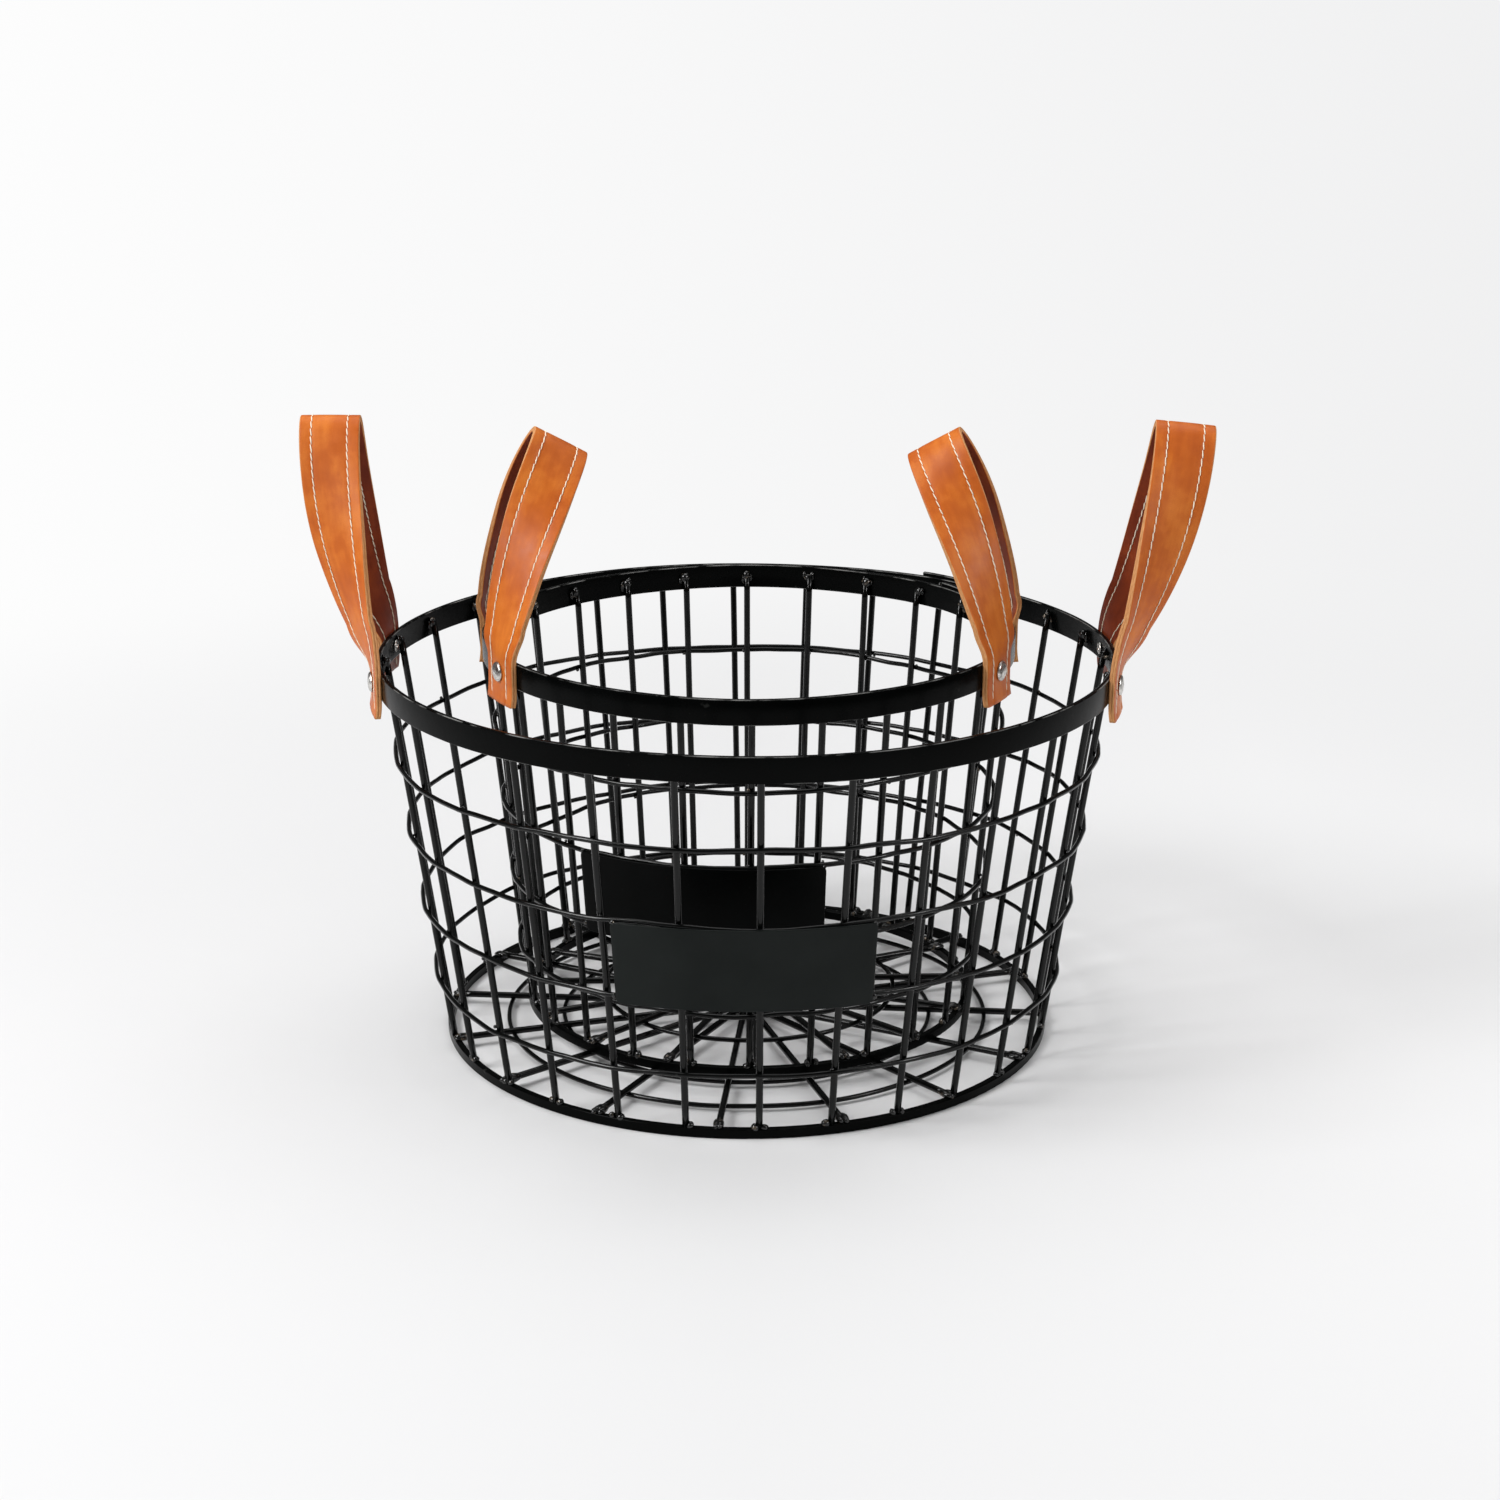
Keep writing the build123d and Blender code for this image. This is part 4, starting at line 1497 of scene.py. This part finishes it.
@dataclass
class Rivet:
    """One tubular rivet: a domed head with a rim, a shank and a rolled tail."""

    through: float
    head: float = 5.1 * MM
    crown: float = 2.1 * MM
    shank: float = 2.0 * MM
    tail: float = 3.2 * MM
    roll: float = 1.2 * MM
    around: int = 32

    def outline(self) -> list[tuple[float, float]]:
        """Rows of (radius, height) from the crown down to the hollow of the tail."""
        dome = [
            (self.head * math.sin(angle) * 0.97, self.crown * (0.34 + 0.66 * math.cos(angle)))
            for angle in np.linspace(0.05, math.pi / 2, 10)
        ]
        rim = [
            (self.head, self.crown * 0.26), (self.head, self.crown * 0.06), (self.head * 0.95, 0.0)
        ]
        under = [(self.shank, 0.0), (self.shank, -self.through)]
        bulge = self.roll / 2
        lip = [
            (
                self.tail - bulge + bulge * math.cos(angle),
                -self.through - bulge + bulge * math.sin(angle),
            )
            for angle in np.linspace(math.pi / 2, -math.pi / 2, 7)
        ]
        hollow = [
            (1.5 * MM, -self.through - self.roll * 0.95),
            (1.15 * MM, -self.through - self.roll * 0.6), (1.1 * MM, -self.through + 0.6 * MM),
            (0.3 * MM, -self.through + 0.9 * MM),
        ]
        return dome + rim + under + lip + hollow

    def build(self) -> bpy.types.Object:
        """Make the rivet at the origin, its head towards +Z."""
        rows = self.outline()
        points = [
            (
                radius * math.cos(math.tau * i / self.around),
                radius * math.sin(math.tau * i / self.around), height,
            )
            for radius, height in rows
            for i in range(self.around)
        ]
        faces = []
        for level in range(len(rows) - 1):
            for i in range(self.around):
                here, after = level * self.around, (i + 1) % self.around
                faces.append(
                    (here + i, here + self.around + i, here + self.around + after, here + after)
                )
        faces.append(tuple(range(self.around)))
        faces.append(tuple(reversed(range((len(rows) - 1) * self.around, len(rows) * self.around))))
        return add_object("rivet_shape", mesh_from("rivet_shape", np.array(points), faces))


def straps(plan: BasketPlan) -> list[Strap]:
    """The two handles of a basket."""
    if plan.name == "large":
        loose = {"stiff_below": 7.0 * MM, "free_above": 21.0 * MM}
        left = Strap(plan, Side.LEFT, 119.0 * MM, 20.5 * MM, 0.0, 2.4, **loose)
        right = Strap(plan, Side.RIGHT, 119.0 * MM, 20.5 * MM, math.radians(-5.5), 2.4, **loose)
    else:
        left = Strap(plan, Side.LEFT, 103.0 * MM, 16.0 * MM, math.radians(29.0), 1.8)
        right = Strap(plan, Side.RIGHT, 103.0 * MM, 16.0 * MM, math.radians(30.0), 1.8)
    return [left, right]


# ---------------------------------------------------------------- the studio
@dataclass
class Studio:
    """A pale floor that runs out into a pale background, soft lamps and the camera."""

    # The floor's colour is darker at the left and lighter at the right: painted light that evens
    # out the key lamp and lifts the shadow on the right.
    floor_painted_dim_left: Colour = (0.765, 0.765, 0.77)
    floor_painted_bright_right: Colour = (0.86, 0.86, 0.865)
    # The background glows brighter at the left and dimmer at the right: painted light that falls
    # off away from the key lamp.
    backdrop_painted_bright_left: Colour = (0.985, 0.985, 0.985)
    backdrop_painted_dim_right: Colour = (0.87, 0.87, 0.875)
    world_strength: float = 0.40
    world_in_gloss: float = 0.10
    camera_place: tuple[float, float, float] = (0.0018, -1.3981, 0.5782)
    camera_pitch: float = math.radians(17.11)
    lens: float = 67.2
    soft_lamps: tuple = (  # name, place, length of side and watts
        ("key", (-1.6, -0.7, 1.8), 1.0, 40.0),
        ("fill", (1.7, -0.8, 1.3), 1.4, 7.0),
        ("top", (0.1, 0.7, 2.3), 1.8, 20.0),
    )
    glints: tuple = (("glint_left", (-1.3, -1.0, 0.9)), ("glint_right", (1.5, -0.9, 1.1)))
    fade_start: float = 0.28  # from here outwards the floor passes into the background
    fade_end: float = 1.15
    glint_size: float = 0.35
    glint_power: float = 9.0

    def build(self) -> None:
        """Make the floor, the world, the lamps and the camera."""
        self.floor()
        self.world()
        for name, place, size, power in self.soft_lamps:
            self.lamp(name, place, size, power)
        for name, place in self.glints:
            self.lamp(name, place, self.glint_size, self.glint_power).visible_diffuse = False
        self.camera()
        bpy.context.scene.view_settings.view_transform = "Standard"

    def floor(self) -> None:
        """A wide floor that keeps the shadow near the object and fades out beyond it; its colour is
        painted lighter towards the right, which lifts the shadow there.
        """
        points = np.array([(-40, -40, 0), (40, -40, 0), (40, 40, 0), (-40, 40, 0)], float)
        points[:, 2] = -0.1 * MM
        ground = add_object("floor", mesh_from("floor", points, [(0, 1, 2, 3)]))
        net = Shader("floor_paper")
        # Painted light: the floor's colour lightens from left to right.
        painted_light_tone = net.tint(
            net.spread(net.parts(net.place)[0], 0.0, 0.35, 0.0, 1.0), rgba(self.floor_painted_dim_left),
            rgba(self.floor_painted_bright_right),
        )
        net.set(Base_Color=painted_light_tone, Roughness=0.9, Specular_IOR_Level=0.2)
        distance = net.add(
            "ShaderNodeVectorMath", {0: net.place}, operation="LENGTH"
        ).outputs["Value"]
        reach = {0: distance, 1: self.fade_start, 2: self.fade_end, 3: 0.0, 4: 1.0}
        fade = net.add("ShaderNodeMapRange", reach, interpolation_type="SMOOTHERSTEP").outputs[0]
        # Painted light: the glow that the camera sees dims from left to right.
        sideways = net.parts(
            net.vector("NORMALIZE", net.vector("ADD", net.place, (0.0, 1.4, 0.0)))
        )[0]
        share = net.spread(sideways, -0.28, 0.28, 0.0, 1.0)
        colour = net.tint(share, rgba(self.backdrop_painted_bright_left), rgba(self.backdrop_painted_dim_right))
        glow = net.add("ShaderNodeEmission", {"Color": colour, "Strength": 1.0})
        seen = net.add("ShaderNodeLightPath").outputs["Is Camera Ray"]
        factor = net.math("MULTIPLY", fade, seen)
        mixed = net.add(
            "ShaderNodeMixShader", {0: factor, 1: net.surface.outputs[0], 2: glow.outputs[0]}
        )
        output = next(node for node in net.tree.nodes if node.type == "OUTPUT_MATERIAL")
        net.put(output.inputs["Surface"], mixed.outputs[0])
        ground.data.materials.append(net.material)

    def world(self) -> None:
        """Even pale light all round, dim in reflections, and the pale background."""
        world = bpy.data.worlds.new("studio_air")
        bpy.context.scene.world = world
        world.use_nodes = True
        net = Net(world.node_tree)
        net.tree.nodes.clear()
        rays = net.add("ShaderNodeLightPath").outputs
        strength = net.spread(
            rays["Is Glossy Ray"], 0.0, 1.0, self.world_strength, self.world_in_gloss
        )
        light = net.add("ShaderNodeBackground", {"Color": (1, 1, 1, 1), "Strength": strength})
        backdrop = net.add("ShaderNodeBackground", {"Color": rgba(self.backdrop_painted_bright_left), "Strength": 1.0})
        mixed = net.add(
            "ShaderNodeMixShader",
            {0: rays["Is Camera Ray"], 1: light.outputs[0], 2: backdrop.outputs[0]},
        )
        net.add("ShaderNodeOutputWorld", {"Surface": mixed.outputs[0]})

    def lamp(
        self, name: str, place: tuple[float, float, float], size: float, power: float
    ) -> bpy.types.Object:
        """A soft square lamp that points at the baskets.

        Args:
            name: The lamp's name.
            place: Where it stands.
            size: The length of its side.
            power: In watts.

        Returns:
            The lamp.
        """
        data = bpy.data.lights.new(name, "AREA")
        data.size, data.energy = size, power
        lamp = bpy.data.objects.new(name, data)
        bpy.context.scene.collection.objects.link(lamp)
        lamp.location = place
        lamp.rotation_euler = (
            Vector((0, 0, 0.12)) - Vector(place)
        ).to_track_quat("-Z", "Y").to_euler()
        return lamp

    def camera(self) -> None:
        """The camera, level from side to side and looking a little down."""
        data = bpy.data.cameras.new("camera")
        data.lens, data.sensor_width = self.lens, 36.0
        data.clip_start, data.clip_end = 0.05, 50.0
        camera = bpy.data.objects.new("camera", data)
        bpy.context.scene.collection.objects.link(camera)
        camera.location = self.camera_place
        camera.rotation_euler = (math.pi / 2 - self.camera_pitch, 0.0, 0.0)
        bpy.context.scene.camera = camera


def main() -> None:
    """Build the studio and both baskets."""
    logging.basicConfig(level=logging.INFO, format="%(name)s %(message)s")
    Studio().build()
    finishes = Finishes.make()
    growths = Growths.make()
    for plan in plans():
        WireWork(plan, finishes, growths).build()
        for strap in straps(plan):
            strap.build(finishes, growths)


if __name__ == "__main__":
    main()
